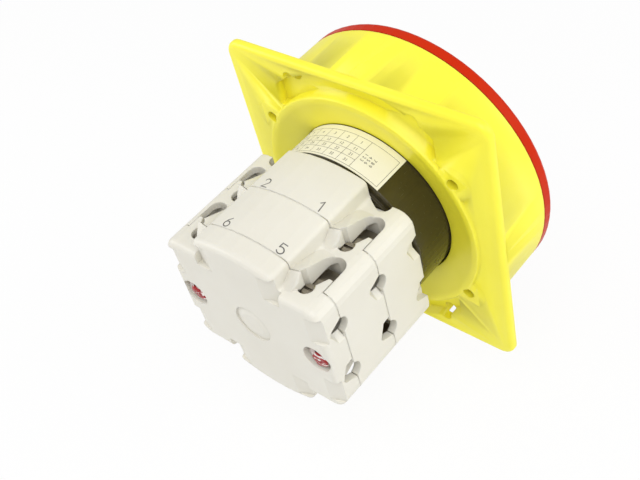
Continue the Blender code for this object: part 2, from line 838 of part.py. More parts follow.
def quadrants():
    return [(sideX, sideZ) for sideZ in (1, -1) for sideX in (-1, 1)]


def addLip(cell, tag, rear, sideX, sideZ):
    # The inner side of each screwdriver slot stands up as a ramp that is highest at the rear.
    front = rear - slotLength
    low = shoulderHeight - 2.0 * mm
    inner = crownHalfWidth - 1.0 * mm
    outer = slotInner + 1.0 * mm
    points = [(inner, front, low), (outer, front, low), (inner, rear, low), (outer, rear, low)]
    points += [(inner, front, shoulderHeight), (outer, front, shoulderHeight)]
    points += [(inner, rear, lipInnerHeight), (outer, rear, lipOuterHeight)]
    add(cell, makeHull("lip_tool_" + tag, mirrored(points, sideX, sideZ)))


def cutSlot(cell, tag, rear, sideX, sideZ):
    radius = (slotOuter - slotInner) / 2
    middle = (slotOuter + slotInner) / 2
    far = rear - slotLength + radius
    outline = [(middle + radius, rear + 1.0 * mm)]
    for k in range(11):
        angle = -math.pi * k / 10
        outline.append((middle + radius * math.cos(angle), far + radius * math.sin(angle)))
    outline.append((middle - radius, rear + 1.0 * mm))
    outline = [(sideX * x, y) for x, y in outline]
    heights = sorted((sideZ * (channelRoof - 3.0 * mm), sideZ * (crownHeight + 1.0 * mm)))
    cut(cell, prismZ("slot_tool_" + tag, outline, heights[0], heights[1]))


def boxAt(name, low, high, sideX, sideZ):
    # A box given in the quadrant where x and z are positive, mirrored into another one.
    ends = mirrored([low, high], sideX, sideZ)
    boxLow = tuple(min(a, b) for a, b in zip(*ends))
    boxHigh = tuple(max(a, b) for a, b in zip(*ends))
    return makeBox(name, boxLow, boxHigh)


def cutChannel(cell, tag, rear, sideX, sideZ):
    # The space behind each wire entry that holds the clamp, and the gap that its bar comes through.
    low = (channelInner, rear - channelLength, channelFloor)
    high = (channelOuter, rear + 1.0 * mm, channelRoof)
    cut(cell, boxAt("channel_tool_" + tag, low, high, sideX, sideZ))
    low = (chamberHalfWidth - 1.0 * mm, rear - 5.2 * mm, barLevel - seatGap)
    high = (channelInner + 1.0 * mm, rear + 1.0 * mm, barTop + seatGap)
    cut(cell, boxAt("passage_tool_" + tag, low, high, sideX, sideZ))


def cutOverlap(piece, tag, front, sideX, sideZ):
    # The rest of the terminal space of the cell in front.
    low = (channelInner, front - 1.0 * mm, channelFloor)
    high = (channelOuter, front + channelOverlap, channelRoof)
    cut(piece, boxAt("overlap_tool_" + tag, low, high, sideX, sideZ))


def cutWireHole(piece, tag, rear, sideX, sideZ):
    span = sorted((sideX * (channelOuter - 1.0 * mm), sideX * (bodyHalfWidth + 1.0 * mm)))
    outline = circlePoints(wireRadius, 24, (rear + wireShift, sideZ * wireHeight))
    cut(piece, prismX("wire_tool_" + tag, outline, span[0], span[1]))


def cutEntry(piece, tag, front, sideX, sideZ, inner):
    # The lead-in for the wire of the cell in front: flat on top, sloping away below.
    edge = [(front - 1.0 * mm, wireHeight + wireRadius), (front, wireHeight + wireRadius)]
    edge += [(front + entryReach, wireHeight + entryRise), (front + entryFoot, wireHeight - entryDrop)]
    edge += [(front - 1.0 * mm, wireHeight - wireRadius)]
    outline = [(y, sideZ * z) for y, z in edge]
    span = sorted((sideX * inner, sideX * (bodyHalfWidth + 1.0 * mm)))
    cut(piece, prismX("entry_tool_" + tag, outline, span[0], span[1]))
    deep = bodyHalfWidth - 2.2 * mm
    out = bodyHalfWidth + 0.02 * mm
    points = []
    for y, z in edge[2:4]:
        points += [(deep, y, z), (bodyHalfWidth + 1.0 * mm, y, z)]
    points += [(deep, front - 1.0 * mm, wireHeight - wireRadius), (deep, front - 1.0 * mm, wireHeight)]
    points += [(out, front + entryReach + 0.8 * mm, wireHeight), (out, front + entryFoot + 0.4 * mm,
                                                                 wireHeight - entryDrop - entryLead)]
    points += [(out, front - 1.0 * mm, wireHeight - wireRadius - entryLead)]
    points += [(x + 1.0 * mm, y, z) for x, y, z in points[-3:]]
    cut(piece, makeHull("lead_tool_" + tag, mirrored(points, sideX, sideZ)))


def cutNotch(piece, tag, seam, sideX, sideZ):
    # The round end of the screwdriver slot, over the head of the terminal screw.
    heights = sorted((sideZ * (channelRoof - 1.0 * mm), sideZ * (crownHeight + 1.0 * mm)))
    center = (sideX * notchX, seam + notchShift)
    cut(piece, cylinderZ("notch_tool_" + tag, notchRadius, heights[0], heights[1], center, 24))


def cutFlare(piece, tag, front, sideX, sideZ):
    # Opens the notch of the first cell out to the side of its crown.
    start = crownHalfWidth + 0.3 * mm
    rear = front + notchShift + notchRadius - 0.5 * mm
    edge = [(start, front - 1.0 * mm), (start, front + 0.3 * mm), (notchX - 1.6 * mm, rear), (notchX, rear)]
    edge.append((notchX, front - 1.0 * mm))
    points = [(x, y, z) for x, y in edge for z in (channelRoof - 1.0 * mm, shoulderHeight + 1.0 * mm)]
    cut(piece, makeHull("flare_tool_" + tag, mirrored(points, sideX, sideZ)))


def addTongue(piece, tag, front, sideX, sideZ):
    # Carries the raised lip of the slot in front a little way back and lets it fall away.
    inner = crownHalfWidth - 1.0 * mm
    low = channelRoof + terminalScrewHeadHeight + seatGap
    points = []
    for x, z in ((inner, lipInnerHeight), (slotInner, lipOuterHeight)):
        points += [(x, front, low), (x, front, z), (x, front + tongueLength, z - 2.6 * mm)]
        points += [(x, front + tongueLength, low)]
    points += [(inner, front + 2.4 * tongueLength, low), (inner, front + 2.4 * tongueLength, shoulderHeight)]
    points += [(slotInner - 1.5 * mm, front + 2.4 * tongueLength, shoulderHeight)]
    add(piece, makeHull("tongue_tool_" + tag, mirrored(points, sideX, sideZ)))


def addTab(piece, tag, front, sideX, sideZ):
    # A tab that reaches forward and makes the outer edge of the screwdriver slot in front.
    outer = slotOuter - seatGap
    low = shoulderHeight - tabThickness
    points = []
    for z in (low, shoulderHeight):
        points += [(outer, front + 2.0 * mm, z), (outer, front - tabLength, z)]
        points += [(outer - tabTip, front - tabLength, z), (outer - tabBase, front, z)]
        points += [(outer - tabBase, front + 2.0 * mm, z)]
    add(piece, makeHull("tab_tool_" + tag, mirrored(points, sideX, sideZ)))


def buildCell(mat, index):
    front = stackFront + index * cellPitch
    rear = front + cellLength
    name = "contact_cell_%d" % (index + 1)
    cell = prismY(name, crossOutline(), front, rear, mat)
    pit = front + cellFrontWall
    for k, (sideX, sideZ) in enumerate(quadrants()):
        tag = "%d_%d" % (index, k)
        addLip(cell, tag, rear, sideX, sideZ)
        cutSlot(cell, tag, rear, sideX, sideZ)
        cutNotch(cell, tag + "_rear", rear, sideX, sideZ)
        cutChannel(cell, tag, rear, sideX, sideZ)
        cutWireHole(cell, tag, rear, sideX, sideZ)
        joinFront(cell, tag, front, sideX, sideZ, index > 0)
    tag = "_%d" % index
    cut(cell, cylinderY("cam_bore_tool" + tag, camBoreRadius, pit, rear + 1.0 * mm))
    cut(cell, cylinderY("cell_shaft_tool" + tag, bearingRadius, front - 1.0 * mm, pit + 1.0 * mm, steps=28))
    for sideZ in (-1, 1):
        half = [(chamberHalfWidth, chamberFloor), (chamberHalfWidth, chamberStep)]
        half += [(crownHalfSpace, chamberStep), (crownHalfSpace, chamberCeiling)]
        outline = half + [(-x, z) for x, z in reversed(half)]
        outline = [(x, sideZ * z) for x, z in outline]
        cut(cell, prismY("chamber_tool%s_%d" % (tag, sideZ), outline, pit, rear + 1.0 * mm))
        low = (-guideHalfWidth, pit, camBoreRadius - 2.0 * mm)
        high = (guideHalfWidth, rear + 1.0 * mm, chamberFloor + 1.0 * mm)
        cut(cell, boxAt("guide_tool%s_%d" % (tag, sideZ), low, high, 1, sideZ))
    for sideX in (-1, 1):
        start = front - 1.0 * mm
        center = (sideX * boltX, 0.0)
        name = "cell_bolt_tool%s_%d" % (tag, sideX)
        cut(cell, cylinderY(name, boltHoleRadius, start, rear + 1.0 * mm, center, 20))
    return cell


def joinFront(piece, tag, front, sideX, sideZ, behindCell):
    # The front face of a cell or of the end plate, where it completes the openings of the piece in front.
    inner = channelOuter - 1.0 * mm if behindCell else bodyHalfWidth - 2.0 * mm
    cutEntry(piece, tag, front, sideX, sideZ, inner)
    if behindCell:
        addTab(piece, tag, front, sideX, sideZ)
        cutOverlap(piece, tag, front, sideX, sideZ)
    cutNotch(piece, tag + "_front", front, sideX, sideZ)
    if behindCell:
        addTongue(piece, tag, front, sideX, sideZ)
    else:
        cutFlare(piece, tag, front, sideX, sideZ)


def buildEndPlate(mat):
    rings = []
    for y in (endFront, endRear - endFillet):
        rings.append([(x, y, z) for x, z in crossOutline()])
    arcSteps = 4
    for k in range(1, arcSteps + 1):
        angle = math.radians(90.0 * k / arcSteps)
        inset = endFillet * (1 - math.cos(angle))
        y = endRear - endFillet * (1 - math.sin(angle))
        rings.append([(x, y, z) for x, z in crossOutline(inset)])
    plate = loftRings("end_plate", rings, mat)
    for k, (sideX, sideZ) in enumerate(quadrants()):
        tag = "end_%d" % k
        joinFront(plate, tag, endFront, sideX, sideZ, True)
        cutScoops(plate, tag, sideX, sideZ)
    for sideX in (-1, 1):
        center = (sideX * boltX, 0.0)
        tag = "%d" % sideX
        cut(plate, cylinderY("end_bolt_tool" + tag, boltHoleRadius, endFront - 1.0 * mm, endRear, center, 20))
        floor = endRear - counterboreDepth
        bore = cylinderY("counterbore_tool" + tag, counterboreRadius, floor, endRear + 1.0 * mm, center, 32)
        cut(plate, bore)
    floor = endFront + bearingDepth
    cut(plate, cylinderY("bearing_tool", bearingRadius, endFront - 1.0 * mm, floor, steps=28))
    # A ring groove, deepest at its outer edge, leaves a low round dial in the middle.
    inner = dialRadius - dialWidth
    profile = [(dialRadius, endRear + 1.0 * mm), (dialRadius, endRear - dialDepth)]
    profile += [(inner, endRear + 0.02 * mm), (inner, endRear + 1.0 * mm)]
    cut(plate, revolveY("dial_tool", profile, boreSteps))
    return plate


def cutScoops(plate, tag, sideX, sideZ):
    # Sloping grip faces along the sides of the rear face, on the wings and on the middle block.
    wing = (bodyHalfWidth, boltRadius + 6.3 * mm, shoulderHeight - 3.0 * mm)
    crown = (crownHalfWidth, shoulderHeight - 4.0 * mm, crownHeight - 3.5 * mm)
    for k, (edge, low, high) in enumerate((wing, crown)):
        points = []
        for z in (low, high):
            points.append((edge - scoopWidth, endRear + 0.02 * mm, z))
            points.append((edge + 1.0 * mm, endRear - scoopDepth, z))
            points += [(edge + 1.0 * mm, endRear + 1.0 * mm, z), (edge - scoopWidth, endRear + 1.0 * mm, z)]
        cut(plate, makeHull("scoop_tool_%s_%d" % (tag, k), mirrored(points, sideX, sideZ)))


def buildBolt(mat, name, sideX):
    seat = endRear - counterboreDepth + seatGap
    top = seat + boltHeadHeight
    place = (sideX * boltX, 0.0)
    profile = [(0.0, boltFront), (boltRadius, boltFront), (boltRadius, seat), (boltHeadRadius, seat)]
    profile += [(boltHeadRadius, top - 0.9 * mm), (boltHeadRadius * 0.86, top - 0.35 * mm)]
    profile += [(boltHeadRadius * 0.55, top), (0.0, top + 0.1 * mm)]
    bolt = revolveY(name, profile, 24, mat, place)
    low = (place[0] - 0.6 * mm, top - 1.1 * mm, -screwSlotReach)
    high = (place[0] + 0.6 * mm, top + 1.0 * mm, screwSlotReach)
    cut(bolt, makeBox(name + "_slot", low, high))
    return bolt


# Contacts. Each has a name, the index of its cell and the side (1 up, -1 down) that it works on.
contactSets = [("12", 0, 1, ("1", "2")), ("34", 0, -1, ("3", "4")), ("56", 1, 1, ("5", "6"))]


def contactPlane(index):
    return stackFront + index * cellPitch + cellFrontWall + runGap + 1.0 * mm + camThickness / 2


def seamAfter(index):
    return stackFront + index * cellPitch + cellLength + seatGap / 2


def flipZ(thing, side):
    # Turns a piece made for the upper contacts over to the lower side.
    if side < 0:
        thing.data.transform(Matrix.Rotation(math.pi, 4, "Y"))
    return thing


def buildPlunger(mat, label, index, side):
    y = contactPlane(index)
    low = camHigh + seatGap
    top = bridgeBottom - seatGap
    outline = []
    for k in range(9):
        angle = math.pi + math.pi * k / 8
        outline.append((noseRadius * math.cos(angle), low + noseRadius + noseRadius * math.sin(angle)))
    outline += [(stemHalfWidth, low + noseRadius + 0.4 * mm), (stemHalfWidth, top - 1.2 * mm)]
    outline += [(stemHalfWidth + 1.6 * mm, top - 1.2 * mm), (stemHalfWidth + 1.6 * mm, top)]
    outline += [(-stemHalfWidth - 1.6 * mm, top), (-stemHalfWidth - 1.6 * mm, top - 1.2 * mm)]
    outline += [(-stemHalfWidth, top - 1.2 * mm), (-stemHalfWidth, low + noseRadius + 0.4 * mm)]
    plunger = prismY("plunger_" + label, outline, y - stemHalfDepth, y + stemHalfDepth, mat)
    pinTop = bridgeBottom + bridgeThickness + 2.6 * mm
    pin = cylinderZ("pin_tool_" + label, pinRadius, top - 1.0 * mm, pinTop, (0.0, y))
    flipZ(pin, side)
    flipZ(plunger, side)
    add(plunger, pin)
    return plunger


def buildBridge(mat, label, index, side):
    y = contactPlane(index)
    low = bridgeBottom
    high = low + bridgeThickness
    rise = 0.5 * mm
    outline = [(-bridgeHalf, low), (bridgeHalf, low), (bridgeHalf, high - rise), (bridgeHalf - rise, high)]
    outline += [(-bridgeHalf + rise, high), (-bridgeHalf, high - rise)]
    bridge = prismY("bridge_" + label, outline, y - barHalfDepth, y + barHalfDepth, mat)
    flipZ(bridge, side)
    for sideX in (-1, 1):
        tip = cylinderZ("bridge_tip_tool_%s_%d" % (label, sideX), tipRadius, low - tipHeight, low + 0.4 * mm,
                        (sideX * tipX, y))
        flipZ(tip, side)
        add(bridge, tip)
    radius = pinRadius + seatGap
    hole = cylinderZ("bridge_hole_tool_" + label, radius, low - 1.0 * mm, high + 1.0 * mm, (0.0, y))
    flipZ(hole, side)
    cut(bridge, hole)
    return bridge


def buildContactSpring(mat, label, index, side):
    low = bridgeBottom + bridgeThickness + seatGap
    high = chamberCeiling - seatGap
    ends = sorted((side * low, side * high))
    center = (0.0, contactPlane(index))
    return springAlongZ("contact_spring_" + label, contactSpringRadius, contactSpringWire, contactSpringTurns,
                        ends[0], ends[1], center, mat)


def mirrorPiece(thing, sideX, side):
    # Carries a piece made in the upper right quadrant over to its own.
    change = Matrix.Diagonal((sideX, 1.0, side, 1.0))
    thing.data.transform(change)
    if sideX * side < 0:
        thing.data.flip_normals()
    return thing


def buildTerminal(mat, label, index, side, sideX):
    # A flat bar: a tip under the bridge, a leg back to the seam and an arm out through the clamp.
    y = contactPlane(index)
    seam = seamAfter(index)
    inner = tipX - 2.6 * mm
    leg = tipX + 2.4 * mm
    outline = [(inner, y - barHalfDepth), (chamberHalfWidth - seatGap, y - barHalfDepth)]
    outline += [(chamberHalfWidth - seatGap, seam - 4.6 * mm), (channelInner + seatGap, seam - 4.6 * mm)]
    outline += [(channelInner + seatGap, seam - barHalfY), (channelOuter - seatGap, seam - barHalfY)]
    outline += [(channelOuter - seatGap, seam + 2.4 * mm), (channelInner + seatGap, seam + 2.4 * mm)]
    outline += [(channelInner + seatGap, seam - 2 * seatGap), (leg, seam - 2 * seatGap)]
    outline += [(leg, y + barHalfDepth), (inner, y + barHalfDepth)]
    bar = prismZ("terminal_" + label, outline, barLevel, barTop, mat)
    tip = cylinderZ("terminal_tip_tool_" + label, tipRadius, barTop - 0.4 * mm, barTop + tipHeight, (tipX, y))
    hole = cylinderZ("terminal_hole_tool_" + label, terminalScrewRadius + seatGap, barLevel - 1.0 * mm,
                     barTop + 1.0 * mm, (clampX, seam + notchShift))
    for thing in (bar, tip, hole):
        mirrorPiece(thing, sideX, side)
    add(bar, tip)
    cut(bar, hole)
    return bar


def buildClamp(mat, label, index, side, sideX):
    # A cage round the bar that the screw pulls up. Its top plate runs forward under the slot.
    seam = seamAfter(index)
    top = channelRoof - seatGap
    foot = channelFloor + seatGap
    front = seam - clampFront
    rear = seam + clampRear
    end = seam - clampTongue
    outline = [(end, top - clampDrop), (front, top), (rear, top), (rear, foot), (front, foot)]
    outline += [(front, top - clampThickness), (end, top - clampDrop - clampThickness)]
    clamp = prismX("clamp_" + label, outline, clampX - clampHalfX, clampX + clampHalfX, mat)
    low = (clampX - 2 * clampHalfX, front + clampThickness, foot + clampThickness)
    high = (clampX + 2 * clampHalfX, rear - clampThickness, top - clampThickness)
    window = makeBox("clamp_window_tool_" + label, low, high)
    hole = cylinderZ("clamp_hole_tool_" + label, terminalScrewRadius + seatGap, top - 2 * clampThickness,
                     top + 1.0 * mm, (clampX, seam + notchShift))
    for thing in (clamp, window, hole):
        mirrorPiece(thing, sideX, side)
    cut(clamp, window)
    cut(clamp, hole)
    return clamp


def buildTerminalScrew(mat, label, index, side, sideX):
    x = clampX
    y = seamAfter(index) + notchShift
    seat = channelRoof
    top = seat + terminalScrewHeadHeight
    end = barLevel - 1.0 * mm
    rings = []
    for radius, z in ((terminalScrewRadius, end), (terminalScrewRadius, seat), (terminalScrewHead, seat),
                      (terminalScrewHead, top - 0.4 * mm), (terminalScrewHead - 0.4 * mm, top)):
        rings.append([(px, py, z) for px, py in circlePoints(radius, smallSteps, (x, y))])
    screw = loftRings("terminal_screw_" + label, rings, mat)
    low = (x - screwSlotReach, y - 0.45 * mm, top - 0.9 * mm)
    slot = makeBox("screw_slot_tool_" + label, low, (x + screwSlotReach, y + 0.45 * mm, top + 1.0 * mm))
    for thing in (screw, slot):
        mirrorPiece(thing, sideX, side)
    cut(screw, slot)
    return screw


def buildAll():
    clearScene()
    yellow = makeMaterial("yellow_plastic", (0.93, 0.86, 0.02), 0.38)
    red = makeMaterial("red_plastic", (0.60, 0.03, 0.01), 0.32)
    black = makeMaterial("black_plastic", (0.045, 0.038, 0.014), 0.22)
    ivory = makeMaterial("ivory_plastic", (0.78, 0.76, 0.69), 0.42)
    paper = makeMaterial("label_paper", (0.90, 0.85, 0.66), 0.55)
    steel = makeMaterial("zinc_steel", (0.50, 0.48, 0.44), 0.35, 1.0)
    brass = makeMaterial("contact_brass", (0.45, 0.34, 0.20), 0.34, 1.0)
    nylon = makeMaterial("dark_nylon", (0.06, 0.06, 0.065), 0.48)
    lacquer = makeMaterial("lacquered_steel", (0.42, 0.012, 0.015), 0.12)

    buildFrontPlate(yellow)
    handle, seat = buildHandle(red)
    moving = [handle, buildHandleScrew(steel, seat), buildHandleCap(red), buildShaft(steel)]
    floor = stackFront - seatGap - latchRearWall
    moving.append(buildStar(nylon, floor - runGap - starThickness))
    moving += [buildCam(nylon, index) for index in range(cellCount)]
    for thing in moving:
        placeOnAxis(thing, (0.0, 0.0, 0.0))

    buildHousing(black)
    buildCover(black)
    for k, place in enumerate(plateScrewPlaces()):
        buildPlateScrew(steel, k, place)
    for word, sideZ in (("upper", 1), ("lower", -1)):
        buildRoller(steel, "latch_roller_" + word, sideZ, floor)
        buildLatchSpring(steel, "latch_spring_" + word, sideZ, floor)
    buildLabel(paper)
    for index in range(cellCount):
        buildCell(ivory, index)
    buildEndPlate(ivory)
    for word, sideX in (("left", 1), ("right", -1)):
        buildBolt(lacquer, "through_bolt_" + word, sideX)

    for label, index, side, ends in contactSets:
        buildPlunger(nylon, label, index, side)
        buildBridge(brass, label, index, side)
        buildContactSpring(steel, label, index, side)
        for number, sideX in zip(ends, (-1, 1)):
            buildTerminal(brass, number, index, side, sideX)
            buildClamp(steel, number, index, side, sideX)
            buildTerminalScrew(steel, number, index, side, sideX)


buildAll()
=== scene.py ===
import json
import math

import bpy
import bmesh
from mathutils import Matrix, Vector
from mathutils.bvhtree import BVHTree


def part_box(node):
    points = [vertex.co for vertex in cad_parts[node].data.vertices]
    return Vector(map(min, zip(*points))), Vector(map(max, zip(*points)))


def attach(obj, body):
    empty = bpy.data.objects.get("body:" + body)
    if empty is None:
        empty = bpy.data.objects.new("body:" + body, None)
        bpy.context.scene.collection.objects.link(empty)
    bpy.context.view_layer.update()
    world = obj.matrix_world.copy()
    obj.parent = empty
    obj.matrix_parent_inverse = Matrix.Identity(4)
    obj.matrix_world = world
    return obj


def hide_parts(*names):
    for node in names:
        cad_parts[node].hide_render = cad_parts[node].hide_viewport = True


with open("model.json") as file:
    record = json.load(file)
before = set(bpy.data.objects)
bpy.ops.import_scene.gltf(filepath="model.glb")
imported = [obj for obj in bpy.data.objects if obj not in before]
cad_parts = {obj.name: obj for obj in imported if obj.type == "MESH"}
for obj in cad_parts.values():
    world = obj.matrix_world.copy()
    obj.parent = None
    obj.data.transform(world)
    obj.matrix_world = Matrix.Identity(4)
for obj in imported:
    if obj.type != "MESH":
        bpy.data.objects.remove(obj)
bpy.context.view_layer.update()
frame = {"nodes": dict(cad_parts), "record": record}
nodes = frame["nodes"]
mm = 0.001


# Small helpers for shader trees

def startMaterial(name):
    mat = bpy.data.materials.new(name)
    mat.use_nodes = True
    tree = mat.node_tree
    tree.nodes.clear()
    out = tree.nodes.new("ShaderNodeOutputMaterial")
    shader = tree.nodes.new("ShaderNodeBsdfPrincipled")
    tree.links.new(shader.outputs["BSDF"], out.inputs["Surface"])
    return mat, tree, shader


def feed(tree, socket, value):
    # A socket takes either another node's output or a plain constant.
    if isinstance(value, bpy.types.NodeSocket):
        tree.links.new(value, socket)
    elif isinstance(value, (tuple, list)) and len(value) == 3 and socket.type == "RGBA":
        socket.default_value = (value[0], value[1], value[2], 1.0)
    else:
        socket.default_value = value


def objectPoint(tree):
    return tree.nodes.new("ShaderNodeTexCoord").outputs["Object"]


def noiseOf(tree, point, scale, detail=3.0, rough=0.55, stretch=(1.0, 1.0, 1.0)):
    place = tree.nodes.new("ShaderNodeMapping")
    feed(tree, place.inputs["Vector"], point)
    place.inputs["Scale"].default_value = stretch
    noise = tree.nodes.new("ShaderNodeTexNoise")
    feed(tree, noise.inputs["Vector"], place.outputs["Vector"])
    noise.inputs["Scale"].default_value = scale
    noise.inputs["Detail"].default_value = detail
    noise.inputs["Roughness"].default_value = rough
    return noise.outputs["Fac"]


def remap(tree, value, low, high, outLow=0.0, outHigh=1.0):
    node = tree.nodes.new("ShaderNodeMapRange")
    feed(tree, node.inputs["Value"], value)
    node.inputs["From Min"].default_value = low
    node.inputs["From Max"].default_value = high
    node.inputs["To Min"].default_value = outLow
    node.inputs["To Max"].default_value = outHigh
    return node.outputs["Result"]


def spread(tree, noise, outLow=0.0, outHigh=1.0):
    # Most values of a noise lie between 0.3 and 0.7, and these are drawn out to the whole range.
    return remap(tree, noise, 0.3, 0.7, outLow, outHigh)


def maths(tree, operation, a, b):
    node = tree.nodes.new("ShaderNodeMath")
    node.operation = operation
    feed(tree, node.inputs[0], a)
    feed(tree, node.inputs[1], b)
    return node.outputs[0]


def blendColors(tree, share, first, second):
    node = tree.nodes.new("ShaderNodeMix")
    node.data_type = "RGBA"
    feed(tree, node.inputs["Factor"], share)
    feed(tree, [s for s in node.inputs if s.name == "A" and s.type == "RGBA"][0], first)
    feed(tree, [s for s in node.inputs if s.name == "B" and s.type == "RGBA"][0], second)
    return [s for s in node.outputs if s.type == "RGBA"][0]


def bumpOf(tree, height, strength, distance, under=None):
    node = tree.nodes.new("ShaderNodeBump")
    feed(tree, node.inputs["Height"], height)
    node.inputs["Strength"].default_value = strength
    node.inputs["Distance"].default_value = distance
    if under is not None:
        tree.links.new(under, node.inputs["Normal"])
    return node.outputs["Normal"]


def softEdges(tree, radius):
    node = tree.nodes.new("ShaderNodeBevel")
    node.samples = 6
    node.inputs["Radius"].default_value = radius
    return node.outputs["Normal"]


wear = {"flat": 0.985, "bent": 0.90, "breakLow": 0.42, "breakHigh": 0.62}


def edgeWear(tree, point, scale, rounded):
    # High along edges, where the rounded normal leaves the plain one, broken up by noise.
    node = tree.nodes.new("ShaderNodeVectorMath")
    node.operation = "DOT_PRODUCT"
    feed(tree, node.inputs[0], rounded)
    feed(tree, node.inputs[1], tree.nodes.new("ShaderNodeNewGeometry").outputs["Normal"])
    edge = remap(tree, node.outputs["Value"], wear["flat"], wear["bent"])
    patches = noiseOf(tree, point, scale, 4.0)
    broken = remap(tree, patches, wear["breakLow"], wear["breakHigh"])
    return maths(tree, "MULTIPLY", edge, broken)


# Painted shade, partly dust: an ambient occlusion mask that is high in corners and recesses where
# shade falls.
def cornerShadeAndDust(tree, distance):
    node = tree.nodes.new("ShaderNodeAmbientOcclusion")
    node.samples = 6
    node.inputs["Distance"].default_value = distance
    return remap(tree, node.outputs["AO"], 0.35, 0.85, 1.0, 0.0)


# What every moulded plastic shares, unless its own look says otherwise
plasticBase = {
    "fleckLow": 0.68, "fleckHigh": 0.76, "wearScale": 700.0, "dustRough": 0.5,
    "scratches": ((260.0, (1.0, 14.0, 3.0), 0.70, 0.73), (240.0, (12.0, 1.0, 2.0), 0.71, 0.74)),
    "scratchRough": 0.12, "scratchShare": 0.10, "scratchDepth": 0.02 * mm,
    "grainDepth": 0.03 * mm, "waveScale": 55.0, "waves": 0.14, "waveDepth": 0.25 * mm,
    "ior": 1.5, "specular": 0.5, "depth": 0.0, "depthRadius": (1.0, 1.0, 1.0),
}


def plasticLook(own):
    # A moulded plastic: mottled colour, uneven gloss, a fine spark-eroded grain, flow waves,
    # hair scratches from handling, paler edges, and painted shade with a little dust in the
    # corners.
    look = {**plasticBase, **own}
    mat, tree, shader = startMaterial(look["name"])
    point = objectPoint(tree)
    rounded = softEdges(tree, look["edge"])
    corner = cornerShadeAndDust(tree, look["shadeDustReach"])

    mottle = spread(tree, noiseOf(tree, point, look["mottle"], 4.0))
    color = blendColors(tree, mottle, look["color"], look["deep"])
    specks = noiseOf(tree, point, look["fleck"], 2.0)
    fleck = remap(tree, specks, look["fleckLow"], look["fleckHigh"], 0.0, look["fleckShare"])
    color = blendColors(tree, fleck, color, look["fleckColor"])
    worn = edgeWear(tree, point, look["wearScale"], rounded)
    worn = maths(tree, "MULTIPLY", worn, look["wearShare"])
    worn = maths(tree, "MULTIPLY", worn, maths(tree, "SUBTRACT", 1.0, corner))
    color = blendColors(tree, worn, color, look["wornColor"])
    # Painted shade, partly dust: the occlusion mask darkens the colour in corners and recesses.
    shadeAndDust = maths(tree, "MULTIPLY", corner, look["shadeDustShare"])
    color = blendColors(tree, shadeAndDust, color, look["shadeDustColor"])
    feed(tree, shader.inputs["Base Color"], color)

    scratchParts = [
        remap(tree, noiseOf(tree, point, scale, 2.0, 0.5, stretch), low, high)
        for scale, stretch, low, high in look["scratches"]
    ]
    scratch = maths(tree, "MAXIMUM", *scratchParts)
    patches = noiseOf(tree, point, look["patch"], 3.0)
    rough = spread(tree, patches, look["roughLow"], look["roughHigh"])
    rough = maths(tree, "ADD", rough, maths(tree, "MULTIPLY", scratch, look["scratchRough"]))
    rough = maths(tree, "ADD", rough, maths(tree, "MULTIPLY", shadeAndDust, look["dustRough"]))
    feed(tree, shader.inputs["Roughness"], rough)
    shader.inputs["IOR"].default_value = look["ior"]
    shader.inputs["Specular IOR Level"].default_value = look["specular"]
    shader.inputs["Subsurface Weight"].default_value = look["depth"]
    shader.inputs["Subsurface Radius"].default_value = look["depthRadius"]
    shader.inputs["Subsurface Scale"].default_value = 1.0 * mm

    grain = noiseOf(tree, point, look["grain"], 2.0)
    normal = bumpOf(tree, grain, look["grainShare"], look["grainDepth"], rounded)
    waves = noiseOf(tree, point, look["waveScale"], 2.0)
    normal = bumpOf(tree, waves, look["waves"], look["waveDepth"], normal)
    furrow = maths(tree, "SUBTRACT", 1.0, scratch)
    normal = bumpOf(tree, furrow, look["scratchShare"], look["scratchDepth"], normal)
    feed(tree, shader.inputs["Normal"], normal)
    return mat


# What every metal shares
metalBase = {
    "tarnishLow": 0.38, "tarnishHigh": 0.66, "tarnishRough": 0.14, "wearScale": 1500.0,
    "edge": 0.15 * mm, "brushScale": 900.0, "brushShare": 0.16, "brushDepth": 0.02 * mm,
    "dentScale": 300.0, "dentShare": 0.10, "dentDepth": 0.06 * mm,
}


def metalLook(own):
    # A plated or bare metal: brushed grain, tarnish patches and brighter edges.
    look = {**metalBase, **own}
    mat, tree, shader = startMaterial(look["name"])
    point = objectPoint(tree)
    rounded = softEdges(tree, look["edge"])
    clouds = noiseOf(tree, point, look["patch"], 5.0, 0.65)
    tarnish = remap(tree, clouds, look["tarnishLow"], look["tarnishHigh"])
    color = blendColors(tree, tarnish, look["color"], look["deep"])
    worn = edgeWear(tree, point, look["wearScale"], rounded)
    color = blendColors(tree, worn, color, look["bright"])
    feed(tree, shader.inputs["Base Color"], color)
    shader.inputs["Metallic"].default_value = look["metal"]
    brush = noiseOf(tree, point, look["brushScale"], 3.0, 0.6, look["brush"])
    rough = remap(tree, brush, 0.25, 0.75, look["roughLow"], look["roughHigh"])
    rough = maths(tree, "ADD", rough, maths(tree, "MULTIPLY", tarnish, look["tarnishRough"]))
    feed(tree, shader.inputs["Roughness"], rough)
    normal = bumpOf(tree, brush, look["brushShare"], look["brushDepth"], rounded)
    dents = noiseOf(tree, point, look["dentScale"], 2.0)
    normal = bumpOf(tree, dents, look["dentShare"], look["dentDepth"], normal)
    feed(tree, shader.inputs["Normal"], normal)
    return mat


